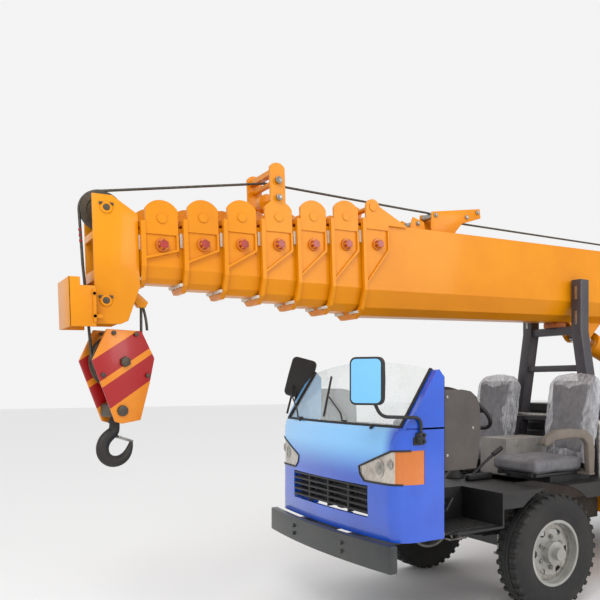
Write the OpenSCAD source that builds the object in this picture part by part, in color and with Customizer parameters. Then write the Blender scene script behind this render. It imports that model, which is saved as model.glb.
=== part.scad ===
// Small truck crane with an open half cab and an eight section telescopic boom.
// +X is forward, +Y is the driver's side, +Z is up. The ground is z = 0.

/* [Boom] */
// Outside width of the base section
base_w = 400; // [380:5:420]
// Outside height of the base section
base_h = 560; // [540:5:600]
// How much narrower each inner section is
step_w = 30; // [28:1:32]
// How much lower each inner section is
step_h = 45; // [42:1:46]
// Sheet thickness of the sections
tube_wall = 5; // [4:0.5:6]
// Number of sections that slide out of the base section
slide_count = 7; // [7:1:7]
// Length of the base section from its pivot to its front face
base_reach = 4660; // [4500:20:4800]
// Length of the base section behind its pivot
base_tail = 150; // [120:10:180]
// Distance from one section's front face to the next one's
section_pitch = 211; // [205:1:220]
// How far each section slides out of the one around it
section_travel = 3600; // [3000:50:3700]
// Height of the boom pivot above the ground
boom_pivot_z = 2250; // [2200:10:2300]
// Height of the boom's middle line above its pivot
boom_rise = 60; // [40:5:80]
// Angle at which the stowed boom dips to the front
boom_dip = 1.8; // [1:0.1:2.4]
// Diameter of the boom foot pin
boom_pin_d = 70; // [50:5:90]

/* [Section collars] */
// Length of the flange round each section's mouth
flange_t = 24; // [20:1:30]
// Height of the flange above the section's skin
flange_rise = 22; // [16:1:26]
// Length of the plate behind each flange
collar_len = 165; // [150:5:172]
// Thickness of the side plate
collar_t = 8; // [6:1:10]
// Thickness of the lug plate
lug_t = 16; // [12:1:20]
// Radius of the lug's round top
lug_r = 95; // [85:5:100]
// Height of the lug's pin above the section's roof
lug_pin_rise = 41; // [35:1:60]
// Diameter of the lug's pin
lug_pin_d = 50; // [40:2:56]
// Width over flats of the pad bolts
pad_bolt_af = 46; // [36:2:50]

/* [Head and hook] */
// Length of the head plates along the boom
head_len = 230; // [210:5:250]
// Height of the head plates above the boom's middle line
head_up = 281; // [260:5:300]
// Depth of the head plates below the boom's middle line
head_down = 364; // [340:5:380]
// Thickness of the head plates
head_t = 12; // [10:1:16]
// Diameter of the rope
rope_d = 14; // [12:1:16]
// Radius of the head sheave to the rope's middle
head_sheave_r = 105; // [95:5:115]
// Width of the hook block's side plates
block_w = 300; // [280:10:320]
// Height of the hook block's side plates
block_h = 470; // [440:10:480]
// Clear gap between the hook block's side plates
block_gap = 110; // [100:5:130]
// Thickness of the hook block's side plates
block_t = 14; // [10:1:16]
// Turn of the hook block on its ropes
block_yaw = -16; // [-24:1:0]
// Height of the hook block's top above the ground
block_top_z = 1738; // [1720:2:1750]
// Height of the hook from its collar to its bowl
hook_h = 205; // [190:5:220]

/* [Running gear] */
// Outside radius of the tyres
tyre_r = 375; // [365:5:380]
// Width of a tyre
tyre_w = 185; // [175:5:190]
// Radius of the rim under the tyre
rim_r = 205; // [200:1:215]
// Gap between the twin rear tyres
twin_gap = 40; // [35:5:45]
// Front axle's place along the truck
front_axle_x = 750; // [720:10:780]
// Rear axle's place along the truck
rear_axle_x = -2300; // [-2340:10:-2260]
// Distance from the middle to a kingpin
kingpin_y = 545; // [535:5:555]
// Distance from the middle to a front tyre's middle
front_wheel_y = 672; // [665:1:680]
// Distance from the middle to a rear pair's middle
rear_wheel_y = 740; // [735:1:745]
// Diameter of the kingpins
kingpin_d = 34; // [30:1:40]
// Length of the steering arms
steer_arm = 180; // [170:5:190]

/* [Chassis] */
// Outside distance between the frame rails
frame_w = 680; // [660:10:690]
// Height of a frame rail
rail_h = 160; // [150:5:170]
// Width of a frame rail's flanges
rail_b = 65; // [55:5:70]
// Thickness of a frame rail
rail_t = 7; // [6:1:9]
// Height of the top of the frame
frame_top = 780; // [775:5:790]
// Front end of the frame
frame_front = 1730; // [1700:10:1750]
// Rear end of the frame
frame_rear = -3460; // [-3480:10:-3440]
// Half width of the deck
deck_half_w = 985; // [970:5:1000]
// Thickness of the deck plate
deck_t = 6; // [5:1:8]

/* [Turret] */
// Turret's turning centre along the truck
slew_x = -2050; // [-2080:10:-2020]
// Radius of the slew ring
slew_r = 400; // [380:10:420]
// Height of the slew ring
slew_h = 92; // [90:2:100]
// Distance from the turning centre back to the boom pivot
pivot_back = 750; // [730:10:770]
// Thickness of the turret's side plates
turret_t = 20; // [16:1:24]
// Radius of the winch drum's barrel
drum_r = 105; // [95:5:115]
// Radius of the winch drum's flanges
drum_flange_r = 180; // [170:5:190]
// Outside radius of the luff cylinder's barrel
luff_barrel_r = 85; // [75:5:90]
// Radius of the luff cylinder's rod
luff_rod_r = 50; // [40:2:55]
// Diameter of the luff cylinder's pins
luff_pin_d = 50; // [40:2:60]

/* [Cab] */
// Half width of the cab
cab_half_w = 760; // [740:5:780]
// Furthest front of the cab at its middle
cab_front = 2000; // [1980:5:2020]
// Height of the cowl under the windscreen
cowl_z = 1215; // [1200:5:1230]
// Height of the windscreen's top
screen_top = 1555; // [1540:5:1580]
// Thickness of the cab's double skin
cab_t = 26; // [20:1:30]
// Thickness of the windscreen
glass_t = 6; // [5:1:7]
// Height of the foot well's floor
floor_z = 590; // [580:5:600]
// Distance from the middle to each chair's middle
chair_y = 410; // [400:5:430]
// Steering wheel's diameter
helm_d = 420; // [400:5:440]

/* [Boom rest] */
// Boom rest's place along the truck
rest_x = -40; // [-60:5:-20]
// Side of the boom rest's posts
post_s = 95; // [85:5:100]
// Height of the boom rest's horns
horn_z = 2250; // [2220:10:2280]

/* [Outriggers] */
// Outside height of the outrigger boxes
box_h = 170; // [160:5:180]
// Width of one cell of an outrigger box
cell_w = 150; // [140:5:160]
// Half length of the outrigger boxes
box_half = 890; // [880:5:900]
// Wall of the outrigger boxes
box_wall = 10; // [8:1:12]
// How far a beam slides out
beam_travel = 900; // [700:50:1000]
// How far a leg goes down
leg_travel = 420; // [400:10:440]
// Side of a leg's housing
leg_s = 120; // [110:5:130]
// Radius of a leg's foot
foot_r = 130; // [120:5:150]

/* [Hidden] */
$fn = 48;
run = 0.3;      // running gap between pieces that slide or turn on each other
clear = 8;      // clearance round pieces that move freely
boom_pivot_x = slew_x - pivot_back;
frame_bottom = frame_top - rail_h;
front_box_x = -460;
rear_box_x = -3240;
box_top = frame_bottom;
box_bottom = box_top - box_h;
beam_h = box_h - 2 * box_wall - 10;
beam_w = cell_w - box_wall - 2 * 6;
beam_z = box_bottom + box_wall + run;
turret_gap = base_w / 2 + 14;
ring_top = frame_top + 20 + slew_h;
turret_z = ring_top + run;
turret_top = turret_z + 25;
drum_x = boom_pivot_x - 400;
drum_z = 1640;
luff_foot_x = boom_pivot_x + 600;
luff_foot_z = turret_top + 215;
luff_eye_x = 2520;                       // along the boom, from its pivot
luff_eye_z = boom_rise - base_h / 2 - 95; // below the boom's skin
head_x = base_reach + (slide_count - 1) * section_pitch + 14;
inner_half_w = (base_w - step_w * slide_count) / 2;
sheave_x = head_x + 150;
sheave_z = boom_rise + 216;
guide_x = head_x + 165;
guide_z = boom_rise - 248;
guide_r = 60;
block_x = 3225;
fall_r = 131;
helm_x = 1240;
helm_y = chair_y;
helm_z = 1300;
helm_rake = 50;
leg_y = box_half + leg_s / 2 + 8;
leg_bottom = 345;
leg_top = 860;

boom_yellow = "orange";
cab_blue = "royalblue";
trim_black = "dimgray";
plate_grey = "darkslategray";
pad_grey = "gray";

// A plate standing in the XZ plane, from y = near to y = far
module plate_xz(points, near, far) {
    translate([0, max(near, far), 0]) rotate([90, 0, 0])
        linear_extrude(abs(far - near)) polygon(points);
}

// The shape given as children, drawn in XZ, from y = near to y = far
module slab_xz(near, far) {
    translate([0, max(near, far), 0]) rotate([90, 0, 0]) linear_extrude(abs(far - near)) children();
}

// The shape given as children, drawn in YZ, from x = back to x = front
module slab_yz(back, front) {
    translate([back, 0, 0]) rotate([90, 0, 90]) linear_extrude(front - back) children();
}

// A round bar between two points
module bar(a, b, r) {
    v = b - a;
    translate(a) rotate([0, acos(v[2] / norm(v)), atan2(v[1], v[0])]) cylinder(h = norm(v), r = r);
}

// A cylinder along Y
module across(x, y0, y1, z, r) {
    translate([x, min(y0, y1), z]) rotate([-90, 0, 0]) cylinder(h = abs(y1 - y0), r = r);
}

// A box by its lowest and highest corners
module block(lo, hi) {
    translate(lo) cube(hi - lo);
}

module both_sides() {
    children();
    mirror([0, 1, 0]) children();
}

module in_boom() {
    translate([boom_pivot_x, 0, boom_pivot_z]) rotate([0, boom_dip, 0]) children();
}

// Boom sections
function section_w(k) = base_w - step_w * k;
function section_h(k) = base_h - step_h * k;
function section_front(k) = k == slide_count ? head_x + 30 : base_reach + section_pitch * k;
function section_rear(k) = k == 0 ? -base_tail : 60 + 15 * k;

// Section outline in YZ, middle line at z = 0: columns are y, z of the right half from the bottom up
function section_half(k) =
    let (w = section_w(k) / 2, h = section_h(k) / 2, s = 1 - 0.075 * k)
    [[w - 120 * s + 2 * k, -h], [w - 50 * s, -h + 45 * s], [w, -h + 150 * s], [w, h]];
function mirrored(half) = concat(half, [for (i = [len(half) - 1 : -1 : 0]) [-half[i][0], half[i][1]]]);
function section_outline(k) = mirrored(section_half(k));
function bend_z(k) = section_half(k)[2][1];

// A closed outline moved inwards by d
function inset(points, d) = let (n = len(points)) [for (i = [0 : n - 1])
    let (a = points[(i + n - 1) % n], b = points[i], c = points[(i + 1) % n],
         u = (b - a) / norm(b - a), v = (c - b) / norm(c - b),
         m = [-u[1], u[0]], q = [-v[1], v[0]])
    b + d * (m + q) / (1 + m * q)];

// Lug on top of a collar, drawn in XZ with x = 0 at the flange's rear face and z = 0 at the roof
module lug_shape(k) {
    if (k == 0) {
        translate([-52, 93]) circle(r = 48);
        polygon([[-collar_len, -42], [0, -42], [-4, 93], [-30, 136], [-300, 0], [-300, -10], [-collar_len, -10]]);
    } else {
        intersection() {
            translate([-collar_len / 2, lug_pin_rise]) circle(r = lug_r);
            translate([-collar_len, 0]) square([collar_len, 200]);
        }
        translate([-collar_len, -42]) square([collar_len, 42 + lug_pin_rise]);
    }
}

// Flange, side plates, lugs, pads and pad bolts at the mouth of section k
module section_collar(k) {
    w = section_w(k) / 2;
    roof = boom_rise + section_h(k) / 2;
    front = section_front(k);
    back = front - flange_t;
    knee = roof - (170 - 7.5 * k);
    foot = boom_rise + bend_z(k) + 35;
    rib = 12;
    pin_x = k == 0 ? back - 52 : back - collar_len / 2;
    pin_z = roof + (k == 0 ? 93 : lug_pin_rise);
    bolt_x = back - collar_len * 0.5;
    bolt_z = roof - 132 + 6 * k;
    slab_yz(back, front) translate([0, boom_rise]) difference() {
        polygon(inset(section_outline(k), -flange_rise));
        polygon(inset(section_outline(k), tube_wall));
    }
    both_sides() {
        plate_xz([[back, roof - 42], [back - collar_len, roof - 42], [back - collar_len, knee], [back, foot]],
            w, w + collar_t);
        translate([back, 0, roof]) slab_xz(w, w + lug_t) lug_shape(k);
        plate_xz([[back - collar_len + rib, roof - 42], [back - collar_len, roof - 42],
                  [back - collar_len, knee], [back, foot], [back, foot + 1.2 * rib],
                  [back - collar_len + rib, knee + rib * 0.7]], w, w + flange_rise);
        across(pin_x, w, w + lug_t + 6, pin_z, lug_pin_d / 2);
        across(bolt_x, w - tube_wall, w + collar_t + 14, bolt_z, 34);
        translate([bolt_x, w + collar_t + 38, bolt_z]) rotate([90, 0, 0]) cylinder(h = 26, d = pad_bolt_af / cos(30), $fn = 6);
        across(bolt_x, w - step_w / 2 + run, w, bolt_z, 28);
    }
    // rope pulley between the lugs
    across(pin_x, -w, w, pin_z, 16);
    across(pin_x, -14, 14, pin_z, 42);
    // bottom pad that the next section runs on
    pad_half = section_half(k + 1)[0][0] - 6;
    block([front - 110, -pad_half, boom_rise - section_h(k) / 2 + tube_wall - 1],
          [front, pad_half, boom_rise - section_h(k + 1) / 2 - run]);
}

module section_tube(k) {
    slab_yz(section_rear(k), section_front(k)) translate([0, boom_rise]) difference() {
        polygon(section_outline(k));
        polygon(inset(section_outline(k), tube_wall));
    }
}

// Tall rope guide on the fourth section's lugs
module rope_guide(k) {
    w = section_w(k) / 2;
    roof = boom_rise + section_h(k) / 2;
    mid = section_front(k) - flange_t - collar_len / 2;
    half = 45;
    both_sides() {
        translate([mid, 0, roof]) slab_xz(w, w + lug_t) {
            translate([-half, 60]) square([2 * half, 255]);
            translate([0, 315]) intersection() {
                translate([0, -20]) circle(r = half + 8);
                translate([-half, -1]) square([2 * half, 80]);
            }
        }
        across(mid, w, w + lug_t + 6, roof + 247, 20);
    }
    across(mid, -w, w, roof + 247, 16);
    across(mid, -w, w, roof + 150, 13);
    across(mid, -30, 30, roof + 150, 52);
    block([mid - 8, -w, roof + 285], [mid + 30, w, roof + 315]);
}

module boom_section(k) {
    color(boom_yellow) in_boom() {
        section_tube(k);
        section_collar(k);
        if (k == 3) rope_guide(k);
    }
}

// Head on the innermost section, with the head sheave, guide sheave and rope guard
module boom_head() {
    k = slide_count;
    w = section_w(k) / 2;
    x0 = head_x;
    z = boom_rise;
    cheek = [[x0, z - 170], [x0 + 62, z - head_down + 18], [x0 + 100, z - head_down], [x0 + head_len - 6, z - head_down],
             [x0 + head_len, z - 200], [x0 + head_len, z + head_up], [x0 + 120, z + head_up], [x0, z + head_up - 82]];
    color(boom_yellow) in_boom() {
        difference() {
            both_sides() plate_xz(cheek, w, w + head_t);
            // rope socket pin holes
            across(x0 + 28, -w - 40, w + 40, z - 128, 17);
        }
        // front webs above and below the sheaves' opening
        block([x0 + head_len - 10, -w, z - 150], [x0 + head_len, w, z - 96]);
        block([x0 + head_len - 10, -w, z + 60], [x0 + head_len, w, z + 96]);
        both_sides() {
            across(sheave_x, w + head_t, w + head_t + 6, sheave_z, 30);
            across(guide_x, w + head_t, w + head_t + 6, guide_z, 30);
        }
        across(sheave_x, -w, w, sheave_z, 22);
        across(guide_x, -w, w, guide_z, 18);
        grooved_sheave(sheave_x, sheave_z, head_sheave_r, 60);
        grooved_sheave(guide_x, guide_z, guide_r, 60);
        // collar of the innermost section
        slab_yz(x0 + 2, x0 + 30) translate([0, z]) difference() {
            polygon([[-w, -section_h(k) / 2 - 20], [w, -section_h(k) / 2 - 20], [w, section_h(k) / 2 + 20], [-w, section_h(k) / 2 + 20]]);
            polygon(section_outline(k));
        }
        rope_guard();
    }
    color(boom_yellow) rope_socket();
}

// Rope sheave with a rope groove, turning on Y
module grooved_sheave(x, z, r, width) {
    lip = r + 12;
    translate([x, 0, z]) rotate([90, 0, 0]) rotate_extrude()
        polygon([[16, -width / 2], [r * 0.55, -width / 2], [r * 0.6, -width / 4], [lip - 6, -width / 4], [lip, -12],
                 [r - rope_d / 2 - run, -5.5], [r - rope_d / 2 - run, 5.5], [lip, 12], [lip - 6, width / 4],
                 [r * 0.6, width / 4], [r * 0.55, width / 2], [16, width / 2]]);
}

// Open box of bent plate at the head's front foot, which keeps the rope on the guide sheave
module rope_guard() {
    w = 150;
    t = 8;
    x0 = head_x + head_len + 2;
    x1 = x0 + 100;
    z0 = boom_rise - head_down - 22;
    z1 = z0 + 215;
    difference() {
        union() {
            block([x0, -w, z0], [x1, w, z1]);
            block([x0, -w, z1 - 1], [x0 + 48, w, z1 + 40]);
        }
        block([x0 - 20, -w + t, z0 - 1], [x1 - t, w - t, z1 + 60]);
    }
    both_sides() block([x0 - 34, section_w(slide_count) / 2 + head_t, z0 + 40], [x0 + 1, w - t + 1, z0 + 62]);
    both_sides() block([x0 - 2, w - t, z0 + 20], [x0 + 14, w + 7, z1 - 12]);
}

// Base section with its foot bosses, luff cylinder bracket and rear rope roller
module boom_base() {
    w = base_w / 2;
    color(boom_yellow) in_boom() {
        difference() {
            union() {
                section_tube(0);
                section_collar(0);
                both_sides() {
                    across(0, w - tube_wall, turret_gap - run, 0, 75);
                    plate_xz([[-base_tail, -90], [300, -140], [300, 140], [-base_tail, 150]], w, w + 8);
                }
                across(0, -w, w, 0, 60);
                both_sides() plate_xz([[luff_eye_x - 210, boom_rise - base_h / 2 + 4], [luff_eye_x - 60, luff_eye_z - 40],
                    [luff_eye_x - 28, luff_eye_z - 58], [luff_eye_x + 28, luff_eye_z - 58], [luff_eye_x + 60, luff_eye_z - 40],
                    [luff_eye_x + 180, boom_rise - base_h / 2 + 4]], 58, 76);
                both_sides() across(luff_eye_x, 58, 88, luff_eye_z, 46);
            }
            across(0, -w - 60, w + 60, 0, boom_pin_d / 2 + 0.1);
            across(luff_eye_x, -100, 100, luff_eye_z, luff_pin_d / 2);
        }
        both_sides() across(luff_eye_x, 54, 94, luff_eye_z, luff_pin_d / 2);
        // rear roller that leads the rope on to the roof
        both_sides() plate_xz([[-base_tail, boom_rise + base_h / 2], [-40, boom_rise + base_h / 2],
            [-70, boom_rise + base_h / 2 + 70], [-base_tail + 10, boom_rise + base_h / 2 + 70]], 60, 70);
        across(-base_tail + 45, -60, 60, boom_rise + base_h / 2 + 46, 22);
        across(-base_tail + 45, -78, 78, boom_rise + base_h / 2 + 46, 10);
    }
}

// Raised channel with rollers that holds the rope down on the base section
module rope_presser() {
    x0 = base_reach - 520;
    roof = boom_rise + base_h / 2;
    color(boom_yellow) in_boom() {
        both_sides() {
            plate_xz([[x0, roof], [x0, roof + 96], [x0 - 430, roof + 172], [x0 - 430, roof + 112], [x0 - 300, roof + 40], [x0 - 150, roof]], 62, 72);
            across(x0 - 34, 62, 80, roof + 62, 14);
            across(x0 - 130, 62, 80, roof + 84, 14);
            across(x0 - 390, 62, 80, roof + 138, 14);
            plate_xz([[x0 + 26, roof], [x0 + 26, roof + 40], [x0 + 60, roof + 60], [x0 + 130, roof + 56], [x0 + 150, roof]], 40, 50);
        }
        across(x0 - 130, -62, 62, roof + 84, 20);
        across(x0 - 390, -62, 62, roof + 138, 16);
        across(x0 - 34, -62, 62, roof + 62, 12);
        across(x0 + 84, -40, 40, roof + 32, 22);
    }
}

// Rope falls from the head down to the hook block's sheave
module rope_falls() {
    reach = (fall_r + 2) * [cos(block_yaw), sin(block_yaw), 0];
    wheel = [block_x, 0, block_top_z - 160];
    color("slategray") {
        bar(wheel + reach, [block_x + fall_r + 1, 0, block_top_z + 126], rope_d / 2);
        bar(wheel - reach, [block_x - fall_r + 30, 20, block_top_z + 88], rope_d / 2);
    }
}

// Wedge socket that anchors the rope's end, pinned between the head's cheeks
module rope_socket() {
    top = block_top_z + 92;
    slab_xz(-4, 44) translate([block_x - fall_r + 30, 0])
        polygon([[-32, top + 0.3], [14, top + 0.3], [34, top + 60], [62, top + 136], [50, top + 156], [26, top + 152], [-34, top + 60]]);
}

// Hook block: two cheeks, sheaves, cross head
module hook_block() {
    w = block_w / 2;
    z1 = block_top_z;
    g = block_gap / 2;
    cheek = [[-w + 18, z1 - 2], [-w + 56, z1], [w - 62, z1], [w, z1 - 138], [w - 22, z1 - 262], [w - 66, z1 - block_h + 14],
             [w - 96, z1 - block_h], [-w + 130, z1 - block_h], [-w + 100, z1 - block_h + 30], [-w, z1 - 158]];
    color(boom_yellow) translate([block_x, 0, 0]) rotate([0, 0, block_yaw]) {
        both_sides() {
            plate_xz([[-70, z1], [85, z1], [w, z1 - 138], [w - 22, z1 - 262], [w - 66, z1 - block_h + 14],
                [w - 96, z1 - block_h], [-20, z1 - block_h], [-58, z1 - block_h + 34], [-w, z1 - 158]], g, g + block_t);
            across(0, g + block_t, g + block_t + 6, z1 - 160, 26);
            across(4, g + block_t, g + block_t + 6, z1 - block_h + 66, 30);
        }
        across(0, -g, g, z1 - 160, 22);
        block([-46, -g, z1 - block_h + 30], [52, g, z1 - block_h + 100]);
        across(20, -g, g, z1 - 18, 9);
        translate([0, 0, z1 - 160]) rotate([90, 0, 0]) rotate_extrude()
            polygon([[20, -30], [70, -30], [76, -20], [132, -20], [138, -17], [123.7, -8], [123.7, 8], [138, 17], [132, 20],
                [76, 20], [70, 30], [20, 30]]);
    }
}

// Hook with its safety latch, hanging from the cross head
module hook() {
    top = block_top_z - block_h;
    c = top - 106;
    color(trim_black) translate([block_x, 0, 0]) rotate([0, 0, block_yaw]) {
        translate([0, 0, top - 20]) cylinder(h = 49.7, r = 30);
        translate([0, 0, c + 40]) cylinder(h = 50, r = 26);
        // bowl: a thick crescent open towards the rear
        slab_xz(-24, 24) difference() {
            union() {
                translate([4, c - 2]) circle(r = 97);
                polygon([[-26, c + 90], [26, c + 90], [40, c + 60], [-40, c + 60]]);
            }
            translate([-6, c + 4]) circle(r = 46);
            polygon([[-30, c + 30], [-12, c + 52], [-62, c + 120], [-150, c + 110], [-150, c + 20], [-66, c + 30]]);
        }
        // latch
        slab_xz(-8, 8) polygon([[-16, c + 62], [-28, c + 56], [-68, c + 22], [-58, c + 14]]);
    }
}

// Luff cylinder
function boom_point(x, z) = [boom_pivot_x + x * cos(boom_dip) + z * sin(boom_dip), 0,
                             boom_pivot_z - x * sin(boom_dip) + z * cos(boom_dip)];
luff_foot = [luff_foot_x, 0, luff_foot_z];
luff_eye = boom_point(luff_eye_x, luff_eye_z);
luff_len = norm(luff_eye - luff_foot);
luff_tilt = atan2(luff_eye[2] - luff_foot[2], luff_eye[0] - luff_foot[0]);

module in_luff() {
    translate(luff_foot) rotate([0, -luff_tilt, 0]) children();
}

module luff_barrel() {
    color(boom_yellow) in_luff() difference() {
        union() {
            rotate([0, 90, 0]) cylinder(h = 200, r = 50);
            rotate([0, 90, 0]) translate([0, 0, 170]) cylinder(h = luff_len - 330, r = luff_barrel_r);
            rotate([0, 90, 0]) translate([0, 0, luff_len - 200]) cylinder(h = 40, r = luff_barrel_r + 8);
            across(0, -52, 52, 0, 60);
        }
        rotate([0, 90, 0]) translate([0, 0, 200]) cylinder(h = luff_len, r = luff_rod_r + run);
        across(0, -60, 60, 0, luff_pin_d / 2 + 0.1);
    }
}

module luff_rod() {
    color("silver") in_luff() difference() {
        union() {
            rotate([0, 90, 0]) translate([0, 0, 220]) cylinder(h = luff_len - 270, r = luff_rod_r);
            across(luff_len, -48, 48, 0, 55);
        }
        across(luff_len, -60, 60, 0, luff_pin_d / 2 + run);
    }
}

// Turret: base plate, side plates, foot lugs, winch shaft, counterweight
module turret() {
    g = turret_gap;
    tail = -3480;
    color(boom_yellow) {
        difference() {
            union() {
                translate([slew_x, 0, turret_z]) cylinder(h = 25, r = slew_r + 90);
                block([boom_pivot_x - 640, -g - turret_t - 60, turret_z], [slew_x + 400, g + turret_t + 60, turret_top]);
                both_sides() plate_xz([[slew_x + 330, turret_top - 1], [slew_x + 330, turret_top + 150], [slew_x - 260, 1640],
                    [boom_pivot_x + 170, boom_pivot_z + 60], [boom_pivot_x + 90, boom_pivot_z + 125], [boom_pivot_x - 90, boom_pivot_z + 125],
                    [boom_pivot_x - 170, boom_pivot_z + 40], [drum_x - 30, drum_z + 190], [drum_x - 170, drum_z + 150],
                    [drum_x - 210, drum_z], [drum_x - 210, drum_z - 210], [boom_pivot_x - 560, turret_top - 1]], g, g + turret_t);
                both_sides() across(boom_pivot_x, g + turret_t, g + turret_t + 25, boom_pivot_z, 85);
                both_sides() across(drum_x, g + turret_t, g + turret_t + 30, drum_z, 80);
            }
            across(drum_x, -g - 80, g + 80, drum_z, 30 + run);
        }
        across(boom_pivot_x, -g - turret_t - 40, g + turret_t + 40, boom_pivot_z, boom_pin_d / 2);
        both_sides() plate_xz([[luff_foot_x - 130, turret_top - 1], [luff_foot_x - 60, luff_foot_z + 40], [luff_foot_x, luff_foot_z + 66],
            [luff_foot_x + 60, luff_foot_z + 40], [luff_foot_x + 130, turret_top - 1]], 58, 80);
        across(luff_foot_x, -92, 92, luff_foot_z, luff_pin_d / 2);
        block([boom_pivot_x - 60, -g, turret_top], [boom_pivot_x - 40, g, 1600]);
        // winch motor
        translate([drum_x, -g - turret_t - 30, drum_z]) rotate([90, 0, 0]) cylinder(h = 150, r = 62);
        // counterweight
        difference() {
            block([tail, -430, turret_z + 5], [boom_pivot_x - 560, 430, 1290]);
            block([tail - 1, -431, 1190], [tail + 90, 431, 1300]);
        }
    }
}

module winch_drum() {
    g = turret_gap;
    color(boom_yellow) {
        across(drum_x, -g + 10, g - 10, drum_z, drum_r);
        across(drum_x, -g + 10, -g + 24, drum_z, drum_flange_r);
        across(drum_x, g - 24, g - 10, drum_z, drum_flange_r);
        across(drum_x, -g - turret_t - 20, g + turret_t + 20, drum_z, 30);
    }
}

// Chair and lever stand at the turret's side
module control_station() {
    x = slew_x + 60;
    y = 640;
    z = turret_top + 20;
    color(trim_black) {
        block([x - 330, turret_gap + turret_t, z - 20], [x + 420, 930, z]);
        block([x - 240, y - 130, z], [x + 40, y + 130, z + 210]);
        block([x - 280, y - 220, z + 210], [x + 160, y + 220, z + 300]);
        translate([x - 270, y - 210, z + 300]) rotate([0, -10, 0]) cube([90, 420, 420]);
        block([x + 300, y - 230, z], [x + 400, y + 230, z + 540]);
        for (i = [0 : 3])
            translate([x + 330, y - 165 + 110 * i, z + 539]) {
                cylinder(h = 190, r = 8);
                translate([0, 0, 195]) sphere(r = 20);
            }
    }
}

// Frame rails with cross members
module chassis_frame() {
    w = frame_w / 2;
    color(plate_grey) {
        both_sides() slab_yz(frame_rear, frame_front) difference() {
            translate([w - rail_b, frame_bottom]) square([rail_b, rail_h]);
            translate([w - rail_b - 1, frame_bottom + rail_t]) square([rail_b - rail_t + 1, rail_h - 2 * rail_t]);
        }
        difference() {
            for (x = [frame_rear, -2900, -1950, -1200, -340, 640, frame_front - 70])
                block([x, -w + rail_t - 1, frame_bottom + 30], [x + 70, w - rail_t + 1, frame_bottom + 120]);
            for (y = [-80, 80], z = [-25, 25])
                translate([frame_rear - 1, y, frame_bottom + 75 + z]) rotate([0, 90, 0]) cylinder(h = 80, r = 9);
            translate([frame_front - 35, 0, frame_bottom]) cylinder(h = 140, r = 16);
        }
    }
}

// A leaf spring pack below a rail, with its eyes and hangers
module leaf_spring(x, y, half, axle_top) {
    width = 60;
    rise = 70;
    r = (half * half + rise * rise) / (2 * rise);
    thick = 34;
    top_z = axle_top + thick;
    slab_xz(y - width / 2, y + width / 2) {
        intersection() {
            difference() {
                translate([x, top_z - thick + r]) circle(r = r, $fn = 180);
                translate([x, top_z - thick + r]) circle(r = r - thick * 0.5, $fn = 180);
            }
            translate([x - half, axle_top - 5]) square([2 * half, rise + 30]);
        }
        translate([x - 260, axle_top + 8]) square([520, thick - 8]);
        for (side = [-1, 1]) translate([x + side * (half - 6), axle_top + rise + 2]) circle(r = 24);
    }
    for (side = [-1, 1])
        block([x + side * (half - 6) - 22, y - width / 2, axle_top + rise + 10], [x + side * (half - 6) + 22, y + width / 2, frame_bottom]);
}

module front_axle() {
    z = tyre_r;
    x = front_axle_x;
    color(plate_grey) {
        block([x - 38, -kingpin_y + 30, z - 40], [x + 38, kingpin_y - 30, z + 40]);
        both_sides() {
            difference() {
                translate([x, kingpin_y, z - 45]) cylinder(h = 90, r = 38);
                translate([x, kingpin_y, z - 50]) cylinder(h = 100, r = kingpin_d / 2 + 0.05);
            }
            block([x - 34, 265, z + 39], [x + 34, 335, z + 60]);
            leaf_spring(x, 300, 520, z + 60);
        }
    }
}

module rear_axle() {
    z = tyre_r;
    x = rear_axle_x;
    color(plate_grey) {
        across(x, -rear_wheel_y - 170, rear_wheel_y + 170, z, 42);
        across(x, -480, 480, z, 62);
        translate([x, 0, z]) rotate([0, 90, 0]) translate([0, 0, -110]) cylinder(h = 230, r = 165);
        translate([x + 120, 0, z]) rotate([0, 90, 0]) cylinder(h = 130, r = 60);
        both_sides() {
            block([x - 40, 265, z + 40], [x + 40, 335, z + 82]);
            leaf_spring(x, 300, 560, z + 82);
        }
    }
}

// Steering knuckle, made at the left side: forks, kingpin, spindle and steering arm
module knuckle(side) {
    z = tyre_r;
    color(plate_grey) mirror([0, side < 0 ? 1 : 0, 0]) translate([front_axle_x, kingpin_y, z]) {
        translate([0, 0, -82]) cylinder(h = 164, r = kingpin_d / 2);
        for (low = [-78, 45 + run]) translate([0, 0, low]) {
            cylinder(h = 33 - run, r = 36);
            block([-32, 0, 0], [32, 64, 33 - run]);
        }
        block([-32, 44, -78], [32, 64, 78]);
        rotate([-90, 0, 0]) translate([0, 0, 60]) cylinder(h = 170, r = 28);
        block([-steer_arm - 20, -16, -78], [0, 14, -58]);
        translate([-steer_arm, 0, -78]) cylinder(h = 42, r = 11);
    }
}

module tie_rod() {
    z = tyre_r - 58 + run;
    color(plate_grey) difference() {
        union() {
            both_sides() translate([front_axle_x - steer_arm, kingpin_y, z]) cylinder(h = 22, r = 24);
            across(front_axle_x - steer_arm, -kingpin_y + 15, kingpin_y - 15, z + 11, 11);
        }
        both_sides() translate([front_axle_x - steer_arm, kingpin_y, z - 1]) cylinder(h = 30, r = 11 + 0.06);
    }
}

// Tyre profile: columns are radius, y
function tyre_profile(w) = [[rim_r + 1.5, -w * 0.36], [rim_r + 22, -w * 0.42], [rim_r + 70, -w / 2], [rim_r + 105, -w / 2],
    [tyre_r - 26, -w * 0.46], [tyre_r - 8, -w * 0.40], [tyre_r, -w * 0.30], [tyre_r, w * 0.30], [tyre_r - 8, w * 0.40],
    [tyre_r - 26, w * 0.46], [rim_r + 105, w / 2], [rim_r + 70, w / 2], [rim_r + 22, w * 0.42], [rim_r + 1.5, w * 0.36]];

module tyre(x, y) {
    color(trim_black) translate([x, y, tyre_r]) rotate([90, 0, 0]) rotate_extrude($fn = 96) polygon(tyre_profile(tyre_w));
}

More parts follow.
